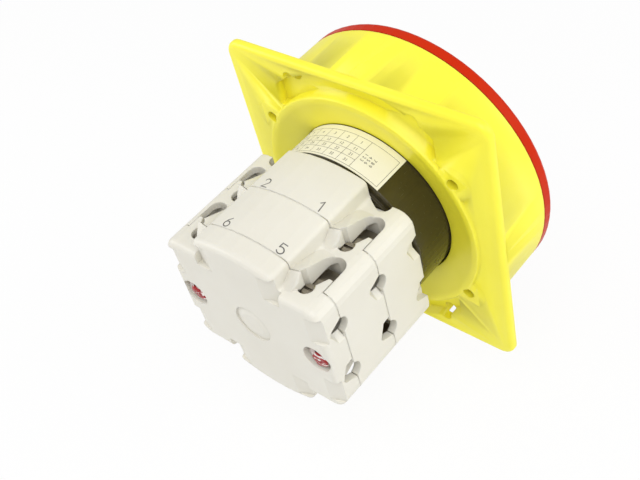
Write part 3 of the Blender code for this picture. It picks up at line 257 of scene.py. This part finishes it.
yellowLook = {
    "name": "lookYellow", "color": (0.95, 0.88, 0.048), "deep": (0.90, 0.82, 0.034),
    "mottle": 28.0, "fleck": 2600.0, "fleckShare": 0.18, "fleckColor": (0.74, 0.62, 0.02),
    "wearShare": 0.35, "wornColor": (0.97, 0.91, 0.25), "shadeDustReach": 3.0 * mm, "shadeDustShare": 0.22,
    "shadeDustColor": (0.45, 0.37, 0.04), "patch": 90.0, "roughLow": 0.30, "roughHigh": 0.42,
    "edge": 0.5 * mm, "grain": 5200.0, "grainShare": 0.10,
    "depth": 0.06, "depthRadius": (1.0, 0.8, 0.1),
}
redLook = {
    "name": "lookRed", "color": (0.57, 0.026, 0.003), "deep": (0.50, 0.020, 0.002),
    "mottle": 30.0, "fleck": 2400.0, "fleckShare": 0.15, "fleckColor": (0.36, 0.016, 0.006),
    "wearShare": 0.4, "wornColor": (0.78, 0.11, 0.04), "shadeDustReach": 2.5 * mm, "shadeDustShare": 0.18,
    "shadeDustColor": (0.22, 0.07, 0.04), "patch": 80.0, "roughLow": 0.26, "roughHigh": 0.40,
    "edge": 0.5 * mm, "grain": 4600.0, "grainShare": 0.12, "specular": 0.07,
}
blackLook = {
    "name": "lookHousing", "color": (0.045, 0.036, 0.013), "deep": (0.035, 0.028, 0.010),
    "mottle": 45.0, "fleck": 2200.0, "fleckShare": 0.22, "fleckColor": (0.10, 0.085, 0.04),
    "wearShare": 0.45, "wornColor": (0.16, 0.14, 0.09), "shadeDustReach": 2.0 * mm, "shadeDustShare": 0.12,
    "shadeDustColor": (0.12, 0.10, 0.06), "patch": 110.0, "roughLow": 0.16, "roughHigh": 0.30,
    "edge": 0.4 * mm, "grain": 4200.0, "grainShare": 0.08, "specular": 0.42,
}
ivoryLook = {
    "name": "lookIvory", "color": (0.745, 0.725, 0.650), "deep": (0.715, 0.690, 0.610),
    "mottle": 32.0, "fleck": 1900.0, "fleckShare": 0.16, "fleckColor": (0.62, 0.57, 0.46),
    "wearShare": 0.35, "wornColor": (0.90, 0.88, 0.82), "shadeDustReach": 1.6 * mm, "shadeDustShare": 0.11,
    "shadeDustColor": (0.48, 0.43, 0.32), "patch": 70.0, "roughLow": 0.36, "roughHigh": 0.50,
    "edge": 0.45 * mm, "grain": 4400.0, "grainShare": 0.06, "waves": 0.07,
    "depth": 0.10, "depthRadius": (1.0, 0.9, 0.7),
}
nylonLook = {
    "name": "lookNylon", "color": (0.055, 0.055, 0.060), "deep": (0.040, 0.040, 0.045),
    "mottle": 60.0, "fleck": 2000.0, "fleckShare": 0.3, "fleckColor": (0.12, 0.12, 0.12),
    "wearShare": 0.5, "wornColor": (0.15, 0.15, 0.16), "shadeDustReach": 1.5 * mm, "shadeDustShare": 0.15,
    "shadeDustColor": (0.16, 0.14, 0.11), "patch": 120.0, "roughLow": 0.38, "roughHigh": 0.55,
    "edge": 0.3 * mm, "grain": 3000.0, "grainShare": 0.2,
}
steelLook = {
    "name": "lookSteel", "metal": 1.0, "patch": 170.0, "brush": (1.0, 1.0, 9.0),
    "color": (0.38, 0.345, 0.29), "deep": (0.27, 0.24, 0.195), "bright": (0.66, 0.63, 0.58),
    "roughLow": 0.24, "roughHigh": 0.42,
}
brassLook = {
    "name": "lookBrass", "metal": 1.0, "patch": 170.0, "brush": (9.0, 1.0, 1.0),
    "color": (0.48, 0.37, 0.22), "deep": (0.34, 0.25, 0.14), "bright": (0.78, 0.64, 0.42),
    "roughLow": 0.22, "roughHigh": 0.40,
}
boltLook = {
    "name": "lookBolt", "metal": 0.9, "patch": 260.0, "brush": (9.0, 2.0, 2.0),
    "color": (0.62, 0.58, 0.54), "deep": (0.46, 0.34, 0.32), "bright": (0.80, 0.76, 0.72),
    "roughLow": 0.18, "roughHigh": 0.34,
}
paper = {
    "color": (0.86, 0.84, 0.735), "deep": (0.84, 0.81, 0.69), "cloudScale": 140.0,
    "fibreColor": (0.79, 0.755, 0.63), "fibreShare": 0.35, "fibreScale": 1800.0,
    "roughLow": 0.42, "roughHigh": 0.58, "grainScale": 2600.0, "grainShare": 0.12,
    "grainDepth": 0.02 * mm, "waveScale": 120.0, "waves": 0.15, "waveDepth": 0.12 * mm,
}


def paperLook():
    # Printed film: warm cream, faint fibres, slightly uneven gloss.
    mat, tree, shader = startMaterial("lookLabel")
    point = objectPoint(tree)
    cloud = spread(tree, noiseOf(tree, point, paper["cloudScale"], 4.0))
    threads = noiseOf(tree, point, paper["fibreScale"], 3.0, 0.6, (1.0, 4.0, 1.0))
    fibre = remap(tree, threads, 0.4, 0.8, 0.0, paper["fibreShare"])
    color = blendColors(tree, cloud, paper["color"], paper["deep"])
    color = blendColors(tree, fibre, color, paper["fibreColor"])
    feed(tree, shader.inputs["Base Color"], color)
    rough = remap(tree, cloud, 0.0, 1.0, paper["roughLow"], paper["roughHigh"])
    feed(tree, shader.inputs["Roughness"], rough)
    grain = noiseOf(tree, point, paper["grainScale"], 2.0)
    normal = bumpOf(tree, grain, paper["grainShare"], paper["grainDepth"])
    waves = noiseOf(tree, point, paper["waveScale"], 2.0)
    normal = bumpOf(tree, waves, paper["waves"], paper["waveDepth"], normal)
    feed(tree, shader.inputs["Normal"], normal)
    return mat


ink = {
    "fade": 0.55, "paler": 1.9, "lift": 0.08, "rough": 0.42, "fadedRough": 0.6,
    "patchScale": 2400.0, "grainScale": 3000.0, "grainShare": 0.1, "grainDepth": 0.01 * mm,
}


def inkLook(name, color):
    # Thin printed ink that is a little worn through.
    mat, tree, shader = startMaterial(name)
    point = objectPoint(tree)
    patches = noiseOf(tree, point, ink["patchScale"], 3.0)
    patchMask = remap(tree, patches, 0.35, 0.75, 0.0, ink["fade"])
    pale = tuple(min(1.0, c * ink["paler"] + ink["lift"]) for c in color)
    feed(tree, shader.inputs["Base Color"], blendColors(tree, patchMask, color, pale))
    rough = remap(tree, patchMask, 0.0, ink["fade"], ink["rough"], ink["fadedRough"])
    feed(tree, shader.inputs["Roughness"], rough)
    grain = noiseOf(tree, point, ink["grainScale"], 2.0)
    normal = bumpOf(tree, grain, ink["grainShare"], ink["grainDepth"])
    feed(tree, shader.inputs["Normal"], normal)
    return mat


# The near-white colour and the streak settings below make painted highlight patches on the drop.
sealing = {
    "color": (0.38, 0.005, 0.007), "deep": (0.20, 0.002, 0.003), "steel": (0.88, 0.84, 0.81),
    "thickScale": 420.0, "glintScale": 520.0, "glintLow": 0.56, "glintHigh": 0.61, "glintMetal": 0.7,
    "roughLow": 0.05, "roughHigh": 0.12, "specular": 0.28,
    "lumpScale": 620.0, "lumps": 0.6, "lumpDepth": 0.35 * mm,
    "grainScale": 2400.0, "grainShare": 0.15, "grainDepth": 0.04 * mm,
}


def lacquerLook():
    # Sealing lacquer: thick, dark and glossy, with painted highlights: streaky near-white, partly
    # metallic patches that stand in for glints.
    mat, tree, shader = startMaterial("lookLacquer")
    point = objectPoint(tree)
    thick = spread(tree, noiseOf(tree, point, sealing["thickScale"], 3.0))
    color = blendColors(tree, thick, sealing["color"], sealing["deep"])
    # Painted highlight: streaky patches turn the colour near-white.
    glintStreaks = noiseOf(tree, point, sealing["glintScale"], 2.0, 0.5, (1.0, 1.0, 2.4))
    patchMask = remap(tree, glintStreaks, sealing["glintLow"], sealing["glintHigh"])
    color = blendColors(tree, patchMask, color, sealing["steel"])
    feed(tree, shader.inputs["Base Color"], color)
    # The painted highlight patches are also made partly metallic.
    feed(tree, shader.inputs["Metallic"], maths(tree, "MULTIPLY", patchMask, sealing["glintMetal"]))
    rough = remap(tree, thick, 0.0, 1.0, sealing["roughLow"], sealing["roughHigh"])
    feed(tree, shader.inputs["Roughness"], rough)
    shader.inputs["Specular IOR Level"].default_value = sealing["specular"]
    lumps = noiseOf(tree, point, sealing["lumpScale"], 2.0)
    normal = bumpOf(tree, lumps, sealing["lumps"], sealing["lumpDepth"])
    grain = noiseOf(tree, point, sealing["grainScale"], 2.0)
    normal = bumpOf(tree, grain, sealing["grainShare"], sealing["grainDepth"], normal)
    feed(tree, shader.inputs["Normal"], normal)
    return mat


looks = {
    "yellow_plastic": plasticLook(yellowLook),
    "red_plastic": plasticLook(redLook),
    "black_plastic": plasticLook(blackLook),
    "ivory_plastic": plasticLook(ivoryLook),
    "dark_nylon": plasticLook(nylonLook),
    "label_paper": paperLook(),
    "zinc_steel": metalLook(steelLook),
    "contact_brass": metalLook(brassLook),
    "lacquered_steel": metalLook(boltLook),
}
print("looks made:", len(looks))

for part in frame["record"]["subparts"]:
    thing = nodes[part["node"]]
    thing.data.materials.clear()
    thing.data.materials.append(looks[part["material_slot"]])
print("materials set on", len(nodes), "nodes")


# Helpers for making pieces

def pieceFrom(bm, name, mat=None):
    mesh = bpy.data.meshes.new(name)
    bm.to_mesh(mesh)
    bm.free()
    if mat is not None:
        mesh.materials.append(mat)
    return linked(name, mesh)


def linked(name, data):
    thing = bpy.data.objects.new(name, data)
    bpy.context.scene.collection.objects.link(thing)
    return thing


def joinRings(bm, rings):
    # Skins a row of rings, all with the same number of corners.
    for a, b in zip(rings, rings[1:]):
        for i in range(len(a)):
            j = (i + 1) % len(a)
            bm.faces.new((a[i], a[j], b[j], b[i]))


def closedBar(bm, rings):
    joinRings(bm, rings)
    bm.faces.new(rings[0])
    bm.faces.new(rings[-1])


def smoothed(mesh, sharpDegrees):
    mesh.shade_smooth()
    mesh.set_sharp_from_angle(angle=math.radians(sharpDegrees))


def flatMesh(name, loops, mat):
    bm = bmesh.new()
    for loop in loops:
        bm.faces.new([bm.verts.new(point) for point in loop])
    return pieceFrom(bm, name, mat)


def treeOf(name):
    # The faces of a node in world space, to lay print on.
    bpy.context.view_layer.update()
    thing = nodes[name]
    points = [thing.matrix_world @ v.co for v in thing.data.vertices]
    return BVHTree.FromPolygons(points, [tuple(f.vertices) for f in thing.data.polygons])


# The collar of the front plate is dished all round, so the flat inside it is turned away

dish = {
    # The outline of the turned cut in mm, as (radius, y)
    "profile": ((27.5, 1.0), (27.5, -3.22), (29.2, -2.78), (33.85, -1.66),
                (37.5, -0.56), (38.62, 0.0), (39.1, 0.24), (39.1, 1.0)),
    "steps": 144, "weld": 1e-6, "sharp": 20.0,
}


def turnedTool(name):
    bm = bmesh.new()
    angles = [2 * math.pi * i / dish["steps"] for i in range(dish["steps"])]
    rings = []
    for radius, y in dish["profile"]:
        ring = [(radius * mm * math.cos(a), y * mm, radius * mm * math.sin(a)) for a in angles]
        rings.append([bm.verts.new(point) for point in ring])
    joinRings(bm, rings + rings[:1])
    bmesh.ops.recalc_face_normals(bm, faces=bm.faces)
    return pieceFrom(bm, name)


def dishPlate():
    bpy.context.view_layer.update()
    node = nodes["front_plate"]
    bm = bmesh.new()
    bm.from_mesh(node.data)
    bm.transform(node.matrix_world)
    bmesh.ops.remove_doubles(bm, verts=bm.verts, dist=dish["weld"])
    plate = pieceFrom(bm, "plateDished")
    tool = turnedTool("dishTool")
    change = plate.modifiers.new("dish", "BOOLEAN")
    change.operation = "DIFFERENCE"
    change.object = tool
    change.solver = "EXACT"
    graph = bpy.context.evaluated_depsgraph_get()
    made = bpy.data.meshes.new_from_object(plate.evaluated_get(graph))
    plate.modifiers.clear()
    plate.data = made
    bpy.data.objects.remove(tool)
    smoothed(made, dish["sharp"])
    made.materials.clear()
    made.materials.append(looks["yellow_plastic"])
    print("front plate dished:", len(made.polygons), "faces")
    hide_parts("front_plate")
    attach(plate, "housing")


dishPlate()


# Digits on the cells

greyInk = inkLook("inkGrey", (0.115, 0.110, 0.105))
labelInk = inkLook("inkLabel", (0.10, 0.09, 0.07))

# Each number with its middle as (x, y) in mm, the side of the stack, and the cell it is on
numberPlaces = (
    ("2", 9.8, 27.8, 1, 1), ("1", -10.7, 27.6, 1, 1), ("6", 8.9, 45.2, 1, 2),
    ("5", -11.4, 45.2, 1, 2), ("4", 9.8, 27.8, -1, 1), ("3", -10.7, 27.6, -1, 1),
)
digitPrint = {
    "height": 3.5 * mm, "width": 0.60, "stroke": 0.095, "lean": -0.12,
    "arcStep": 18, "reach": 60.0 * mm, "lift": 0.02 * mm,
}


def arcPath(across, up, radius, start, end):
    steps = max(3, int(abs(end - start) / digitPrint["arcStep"]))
    angles = [math.radians(start + (end - start) * k / steps) for k in range(steps + 1)]
    return [(across + radius * math.cos(a), up + radius * math.sin(a)) for a in angles]


# Each digit is a list of strokes in a cell 1 high, as (across, up) points.
digitPaths = {
    "1": [[(0.14, 0.76), (0.40, 1.0), (0.40, 0.0)]],
    "2": [arcPath(0.30, 0.70, 0.28, 165, -30) + [(0.02, 0.02), (0.60, 0.02)]],
    "3": [arcPath(0.28, 0.74, 0.25, 150, -80) + arcPath(0.28, 0.27, 0.28, 80, -150)],
    "4": [[(0.50, 0.0), (0.50, 1.0), (0.0, 0.30), (0.66, 0.30)]],
    "5": [[(0.56, 0.98), (0.14, 0.98), (0.07, 0.55)], arcPath(0.29, 0.33, 0.31, 135, -150)],
    "6": [[(0.50, 0.98), (0.20, 0.72), (0.02, 0.34)], arcPath(0.31, 0.30, 0.29, 180, -180)],
}


def strokeQuads(path):
    half = digitPrint["stroke"] / 2
    quads = []
    for (ax, ay), (bx, by) in zip(path, path[1:]):
        length = math.hypot(bx - ax, by - ay)
        dx, dy = (bx - ax) / length * half, (by - ay) / length * half
        quads.append([(ax - dx + dy, ay - dy - dx), (bx + dx + dy, by + dy - dx),
                      (bx + dx - dy, by + dy + dx), (ax - dx - dy, ay - dy + dx)])
    return quads


def printNumbers():
    # The crown of a cell is arched, so each corner of a stroke is dropped onto it on its own.
    trees = {cell: treeOf("contact_cell_%d" % cell) for cell in (1, 2)}
    middle, lean, height = digitPrint["width"] / 2, digitPrint["lean"], digitPrint["height"]
    for digit, x, y, side, cell in numberPlaces:
        loops = []
        for quad in [q for path in digitPaths[digit] for q in strokeQuads(path)]:
            loop = []
            for across, up in quad:
                across = (across - middle + lean * (up - 0.5)) * height
                up = (up - 0.5) * height
                place = Vector((x * mm - across, y * mm - side * up, side * digitPrint["reach"]))
                hit = trees[cell].ray_cast(place, Vector((0.0, 0.0, -side)))[0]
                place.z = hit.z + side * digitPrint["lift"]
                loop.append(place)
            loops.append(loop)
        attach(flatMesh("number" + digit, loops, greyInk), "housing")


printNumbers()
print("cell numbers printed")


# The mouldings touch in the real stack, so a shallow line closes each seam under the surface

seam = {
    "gaps": ((30.01, 30.29), (47.31, 47.59)), "sink": 0.14, "deep": 0.9,
    "crown": 15.2, "top": 29.8, "sag": 2.4, "foot": 22.2,
    "edgeDrop": 0.35, "edge": ((0.75, 0.0), (0.15, 0.85), (0.0, 1.6)),
    "body": 29.9, "shoulder": 21.3, "round": 4.5, "start": 27.6, "end": 14.4, "side": 6.0,
}


def crownPath():
    # Up one flank of the crown, over its arch and down the other. The arch runs to eight
    # tenths of the half width, and the rounded edge takes the rest.
    half = seam["crown"]
    shares = [k / 10 for k in range(9)]
    arch = [(half * share, seam["top"] - seam["sag"] * share * share) for share in shares]
    edge = seam["top"] - seam["sag"] - seam["edgeDrop"]
    rounding = [(half - inset, edge - drop) for inset, drop in seam["edge"]]
    right = arch + rounding + [(half, seam["foot"])]
    return [(-x, z) for x, z in reversed(right[1:])] + right


def cornerPath():
    radius = seam["round"]
    middleX, middleZ = seam["body"] - radius, seam["shoulder"] - radius
    first = math.degrees(math.acos((seam["start"] - middleX) / radius))
    angles = [math.radians(first * (1 - k / 8)) for k in range(9)]
    arc = [(middleX + radius * math.cos(a), middleZ + radius * math.sin(a)) for a in angles]
    return arc + [(seam["body"], seam["end"])]


def seamPaths():
    paths = [crownPath(), [(x, -z) for x, z in crownPath()]]
    for sideX in (-1, 1):
        paths.append([(sideX * seam["body"], seam["side"]), (sideX * seam["body"], -seam["side"])])
        for sideZ in (-1, 1):
            paths.append([(sideX * x, sideZ * z) for x, z in cornerPath()])
    return paths


def partingLines(name, low, high):
    # Closed bars along each path, laid between the two faces of the seam.
    bm = bmesh.new()
    for path in seamPaths():
        rings = []
        for k, (x, z) in enumerate(path):
            back, ahead = path[max(k - 1, 0)], path[min(k + 1, len(path) - 1)]
            along = Vector((ahead[0] - back[0], ahead[1] - back[1])).normalized()
            inward = Vector((along.y, -along.x))
            if inward.dot(Vector((x, z))) > 0:
                inward = -inward
            outer = Vector((x, z)) + inward * seam["sink"]
            inner = outer + inward * seam["deep"]
            corners = [(outer.x, low, outer.y), (outer.x, high, outer.y),
                       (inner.x, high, inner.y), (inner.x, low, inner.y)]
            rings.append([bm.verts.new(Vector(point) * mm) for point in corners])
        closedBar(bm, rings)
    bmesh.ops.recalc_face_normals(bm, faces=bm.faces)
    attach(pieceFrom(bm, name, looks["ivory_plastic"]), "housing")


for k, (low, high) in enumerate(seam["gaps"]):
    partingLines("partingLine%d" % (k + 1), low, high)
print("seams closed")


# The rating label reaches under the lip of the dish, so a longer sheet stands for the CAD one

sheet = {
    "start": 50.0, "end": 126.0, "inner": 29.02, "outer": 29.2, "low": -2.45, "high": 11.5,
    "steps": 76, "sharp": 30.0,
}


def layLabel():
    bm = bmesh.new()
    corners = [(sheet["inner"], sheet["low"]), (sheet["outer"], sheet["low"]),
               (sheet["outer"], sheet["high"]), (sheet["inner"], sheet["high"])]
    rings = []
    for k in range(sheet["steps"] + 1):
        turn = sheet["start"] + (sheet["end"] - sheet["start"]) * k / sheet["steps"]
        angle = math.radians(turn)
        ring = [Vector((r * math.cos(angle), y, r * math.sin(angle))) * mm for r, y in corners]
        rings.append([bm.verts.new(point) for point in ring])
    closedBar(bm, rings)
    bmesh.ops.recalc_face_normals(bm, faces=bm.faces)
    thing = pieceFrom(bm, "ratingSheet", looks["label_paper"])
    smoothed(thing.data, sheet["sharp"])
    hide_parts("rating_label")
    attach(thing, "housing")


layLabel()


# The print of the label is laid out flat as (angle in degrees, y in mm) and wrapped

labelPrint = {
    "radius": 29.2 * mm + 0.03 * mm, "columns": (104.2, 94.4, 84.4, 74.3, 64.3, 54.3),
    "rows": (3.2, 5.6, 7.9), "left": 51.6, "right": 124.1, "top": -0.4, "bottom": 10.8,
    "line": 0.12, "lineStep": 2.5, "textLift": 0.01 * mm, "headHeight": 1.1, "height": 1.05,
    "notes": (("1 2 3", 107.2), ("4 5 6", 110.3), ("7 8 9", 113.4)),
    "notesAt": 5.6, "noteHeight": 1.1,
    "values": (("11", "12", "13", "14", "15"), ("21", "22", "23", "24", "25"),
               ("31", "32", "33", "34", "35")),
}


def wrapPoint(angle, y, lift=0.0):
    radius, turn = labelPrint["radius"] + lift, math.radians(angle)
    return Vector((radius * math.cos(turn), y * mm, radius * math.sin(turn)))


def degreesOf(width):
    return math.degrees(width * mm / labelPrint["radius"])


def ruledLines():
    half = labelPrint["line"] / 2
    turn = degreesOf(half)
    loops = []

    def patch(start, end, low, high):
        loops.append([wrapPoint(start, low), wrapPoint(end, low),
                      wrapPoint(end, high), wrapPoint(start, high)])

    def ring(y, start, end):
        steps = max(2, int((end - start) / labelPrint["lineStep"]))
        stops = [start + (end - start) * k / steps for k in range(steps + 1)]
        for a, b in zip(stops, stops[1:]):
            patch(a, b, y - half, y + half)

    top, bottom = labelPrint["top"], labelPrint["bottom"]
    left, right = labelPrint["left"], labelPrint["right"]
    for y in (top, bottom):
        ring(y, left, right)
    for y in labelPrint["rows"]:
        ring(y, left, labelPrint["columns"][0])
    for angle in labelPrint["columns"] + (left, right):
        patch(angle - turn, angle + turn, top, bottom)
    return loops


lines = flatMesh("labelLines", ruledLines(), labelInk)
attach(lines, "housing")


def textMesh(name, words, height, mat):
    # Flat words of a given height in the XY plane, centred on the origin.
    curve = bpy.data.curves.new(name, "FONT")
    curve.body = words
    curve.resolution_u = 4
    curve.fill_mode = "FRONT"
    source = linked(name + "Source", curve)
    bpy.context.view_layer.update()
    graph = bpy.context.evaluated_depsgraph_get()
    mesh = bpy.data.meshes.new_from_object(source.evaluated_get(graph))
    bpy.data.objects.remove(source)
    across = [v.co.x for v in mesh.vertices]
    along = [v.co.y for v in mesh.vertices]
    middle = Vector((min(across) + max(across), min(along) + max(along), 0.0)) / 2
    size = Matrix.Scale(height / (max(along) - min(along)), 4)
    mesh.transform(size @ Matrix.Translation(-middle))
    mesh.name = name
    mesh.materials.clear()
    mesh.materials.append(mat)
    return linked(name, mesh)


def wrapText(name, words, angle, y, height, turned=False):
    # Reads towards the higher angle, with its top towards the plate.
    thing = textMesh(name, words, height * mm, labelInk)
    for vertex in thing.data.vertices:
        across, up = vertex.co.x / mm, vertex.co.y / mm
        if turned:
            across, up = up, -across
        vertex.co = wrapPoint(angle + degreesOf(across), y - up, labelPrint["textLift"])
    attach(thing, "housing")


def fillLabel():
    columns = labelPrint["columns"]
    tops = (labelPrint["top"],) + labelPrint["rows"]
    ends = labelPrint["rows"] + (labelPrint["bottom"],)
    middles = [(top + end) / 2 for top, end in zip(tops, ends)]
    for column, (left, right) in enumerate(zip(columns, columns[1:])):
        angle = (left + right) / 2
        head = "%d" % (column + 1)
        wrapText("labelHead%d" % column, head, angle, middles[0], labelPrint["headHeight"])
        for row, values in enumerate(labelPrint["values"]):
            name = "labelValue%d_%d" % (column, row)
            wrapText(name, values[column], angle, middles[row + 1], labelPrint["height"])
    for k, (words, angle) in enumerate(labelPrint["notes"]):
        name = "labelNote%d" % k
        wrapText(name, words, angle, labelPrint["notesAt"], labelPrint["noteHeight"], True)


fillLabel()
print("label printed")


# White enamel in the groove of the pointer, on the grip of the handle

enamel = {
    "half": 1.12 * mm, "low": 15.21 * mm, "high": 28.21 * mm, "thick": 0.3 * mm,
    "inset": 0.15 * mm, "margin": 0.08 * mm, "reach": 0.060, "color": (0.80, 0.79, 0.75),
}


def fillPointer():
    aim = Vector((0.0, -enamel["reach"], (enamel["low"] + enamel["high"]) / 2))
    floor = treeOf("handle").ray_cast(aim, Vector((0.0, 1.0, 0.0)))[0].y
    front, half, inset = floor - enamel["thick"], enamel["half"], enamel["inset"]
    low, high = enamel["low"] + enamel["margin"], enamel["high"] - enamel["margin"]
    outer = [(-half, floor, low), (half, floor, low), (half, floor, high), (-half, floor, high)]
    inner = [(-half + inset, front, low + inset), (half - inset, front, low + inset),
             (half - inset, front, high - inset), (-half + inset, front, high - inset)]
    loops = [inner]
    for i in range(4):
        j = (i + 1) % 4
        loops.append([outer[i], outer[j], inner[j], inner[i]])
    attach(flatMesh("pointerEnamel", loops, inkLook("inkWhite", enamel["color"])), "rotor")


fillPointer()
print("pointer filled")


# Sealing lacquer on the two bolts

bead = {
    "radius": 3.0 * mm, "rings": 9, "steps": 32, "shift": (0.7 * mm, 0.15 * mm, 0.5 * mm),
    "lobes": 0.10, "lobesFine": 0.06, "fineTurn": 2.3, "height": 0.62, "tilt": 0.12,
    "ripple": 0.08, "rippleTurn": 7.0, "seed": 1.3, "seedStep": 2.1,
}


def beadPoint(center, share, angle, seed):
    # A point of the drop at this share of the way from its middle to its rim.
    wave = 1.0 + bead["lobes"] * math.sin(2 * angle + seed)
    wave += bead["lobesFine"] * math.sin(5 * angle + bead["fineTurn"] * seed)
    reach = bead["radius"] * share * (1.0 + (wave - 1.0) * share)
    height = bead["height"] + bead["tilt"] * math.sin(2 * angle + seed) * share
    ripple = bead["ripple"] * math.sin(bead["rippleTurn"] * share + seed + angle * 2.0)
    lift = math.sqrt(1 - share * share) * height + ripple * (1 - share) * share * 4
    return (center[0] + reach * math.cos(angle), center[1] + lift * mm,
            center[2] + reach * math.sin(angle))


def lacquerDrop(name, center, seed, mat):
    # A low lumpy drop that clings to the head of a bolt.
    bm = bmesh.new()
    angles = [2 * math.pi * i / bead["steps"] for i in range(bead["steps"])]
    middle = bm.verts.new(beadPoint(center, 0.0, 0.0, seed))
    rings = []
    for k in range(bead["rings"]):
        share = (k + 1) / bead["rings"]
        rings.append([bm.verts.new(beadPoint(center, share, a, seed)) for a in angles])
    for i in range(len(angles)):
        bm.faces.new((middle, rings[0][(i + 1) % len(angles)], rings[0][i]))
    joinRings(bm, rings)
    bmesh.ops.recalc_face_normals(bm, faces=bm.faces)
    thing = pieceFrom(bm, name, mat)
    thing.data.shade_smooth()
    return thing


lacquer = lacquerLook()
for k, name in enumerate(("through_bolt_left", "through_bolt_right")):
    low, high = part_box(name)
    shiftX, sunk, shiftZ = bead["shift"]
    center = ((low.x + high.x) / 2 - shiftX, high.y - sunk, (low.z + high.z) / 2 - shiftZ)
    drop = lacquerDrop("lacquer%d" % (k + 1), center, bead["seed"] + bead["seedStep"] * k, lacquer)
    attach(drop, "housing")
print("bolts sealed")


# Camera at the photograph's own viewing point, solved for a 640 by 480 picture

cameraPlace = {
    "at": (-164.43, 152.35, 209.36), "lens": 54.743, "sensor": 36.0, "near": 10 * mm, "far": 20.0,
    "right": (-0.750329, -0.628192, -0.205867), "down": (-0.347474, 0.639710, -0.685590),
    "ahead": (0.562377, -0.442884, -0.698273),
}


def placeCamera():
    data = bpy.data.cameras.new("camera")
    data.sensor_width = cameraPlace["sensor"]
    data.lens = cameraPlace["lens"]
    data.clip_start = cameraPlace["near"]
    data.clip_end = cameraPlace["far"]
    camera = linked("camera", data)
    right = Vector(cameraPlace["right"])
    up = -Vector(cameraPlace["down"])
    back = -Vector(cameraPlace["ahead"])
    turn = Matrix((right, up, back)).transposed().to_4x4()
    camera.matrix_world = Matrix.Translation(Vector(cameraPlace["at"]) * mm) @ turn
    bpy.context.scene.camera = camera


placeCamera()


# Stage: a white floor that stays white to the camera, and soft boxes

studio = {
    "half": 3.0, "floorZ": -0.075, "floorColor": (0.86, 0.86, 0.86), "floorRough": 0.85,
    "floorShare": 0.90, "roomLight": 0.60, "seenLight": 0.97, "white": (1.0, 1.0, 1.0, 1.0),
}


def cameraRay(tree):
    return tree.nodes.new("ShaderNodeLightPath").outputs["Is Camera Ray"]


def mixShaders(tree, share, first, second, out):
    pick = tree.nodes.new("ShaderNodeMixShader")
    feed(tree, pick.inputs["Fac"], share)
    tree.links.new(first, pick.inputs[1])
    tree.links.new(second, pick.inputs[2])
    tree.links.new(pick.outputs["Shader"], out.inputs["Surface"])


def glowNode(tree, kind, strength):
    node = tree.nodes.new(kind)
    node.inputs["Color"].default_value = studio["white"]
    node.inputs["Strength"].default_value = strength
    return node.outputs[0]


def floorLook():
    mat, tree, shader = startMaterial("lookFloor")
    feed(tree, shader.inputs["Base Color"], studio["floorColor"])
    shader.inputs["Roughness"].default_value = studio["floorRough"]
    out = [n for n in tree.nodes if n.type == "OUTPUT_MATERIAL"][0]
    glow = glowNode(tree, "ShaderNodeEmission", 1.0)
    share = maths(tree, "MULTIPLY", cameraRay(tree), studio["floorShare"])
    mixShaders(tree, share, shader.outputs["BSDF"], glow, out)
    return mat


def makeStage():
    half, z = studio["half"], studio["floorZ"]
    loop = [(-half, -half, z), (half, -half, z), (half, half, z), (-half, half, z)]
    floor = flatMesh("floor", [loop], floorLook())
    world = bpy.data.worlds.new("studio")
    bpy.context.scene.world = world
    world.use_nodes = True
    tree = world.node_tree
    tree.nodes.clear()
    out = tree.nodes.new("ShaderNodeOutputWorld")
    room = glowNode(tree, "ShaderNodeBackground", studio["roomLight"])
    seen = glowNode(tree, "ShaderNodeBackground", studio["seenLight"])
    mixShaders(tree, cameraRay(tree), room, seen, out)


softBoxes = (
    {"name": "keyLight", "at": (-0.24, 0.26, 0.53), "aim": (0.0, 0.0, 0.0),
     "size": 0.45, "watts": 1.95},
    {"name": "sideLight", "at": (0.55, 0.30, 0.30), "aim": (0.0, 0.02, 0.0),
     "size": 0.40, "watts": 1.35},
    {"name": "frontLight", "at": (-0.55, -0.25, 0.30), "aim": (0.0, 0.0, 0.0),
     "size": 0.45, "watts": 1.35},
)


def makeLights():
    for box in softBoxes:
        data = bpy.data.lights.new(box["name"], "AREA")
        data.shape = "SQUARE"
        data.size = box["size"]
        data.energy = box["watts"]
        lamp = linked(box["name"], data)
        lamp.location = box["at"]
        lamp.rotation_mode = "QUATERNION"
        lamp.rotation_quaternion = (Vector(box["aim"]) - Vector(box["at"])).to_track_quat("-Z", "Y")


makeStage()
makeLights()
bpy.context.scene.view_settings.view_transform = "Standard"
print("stage and lights set")
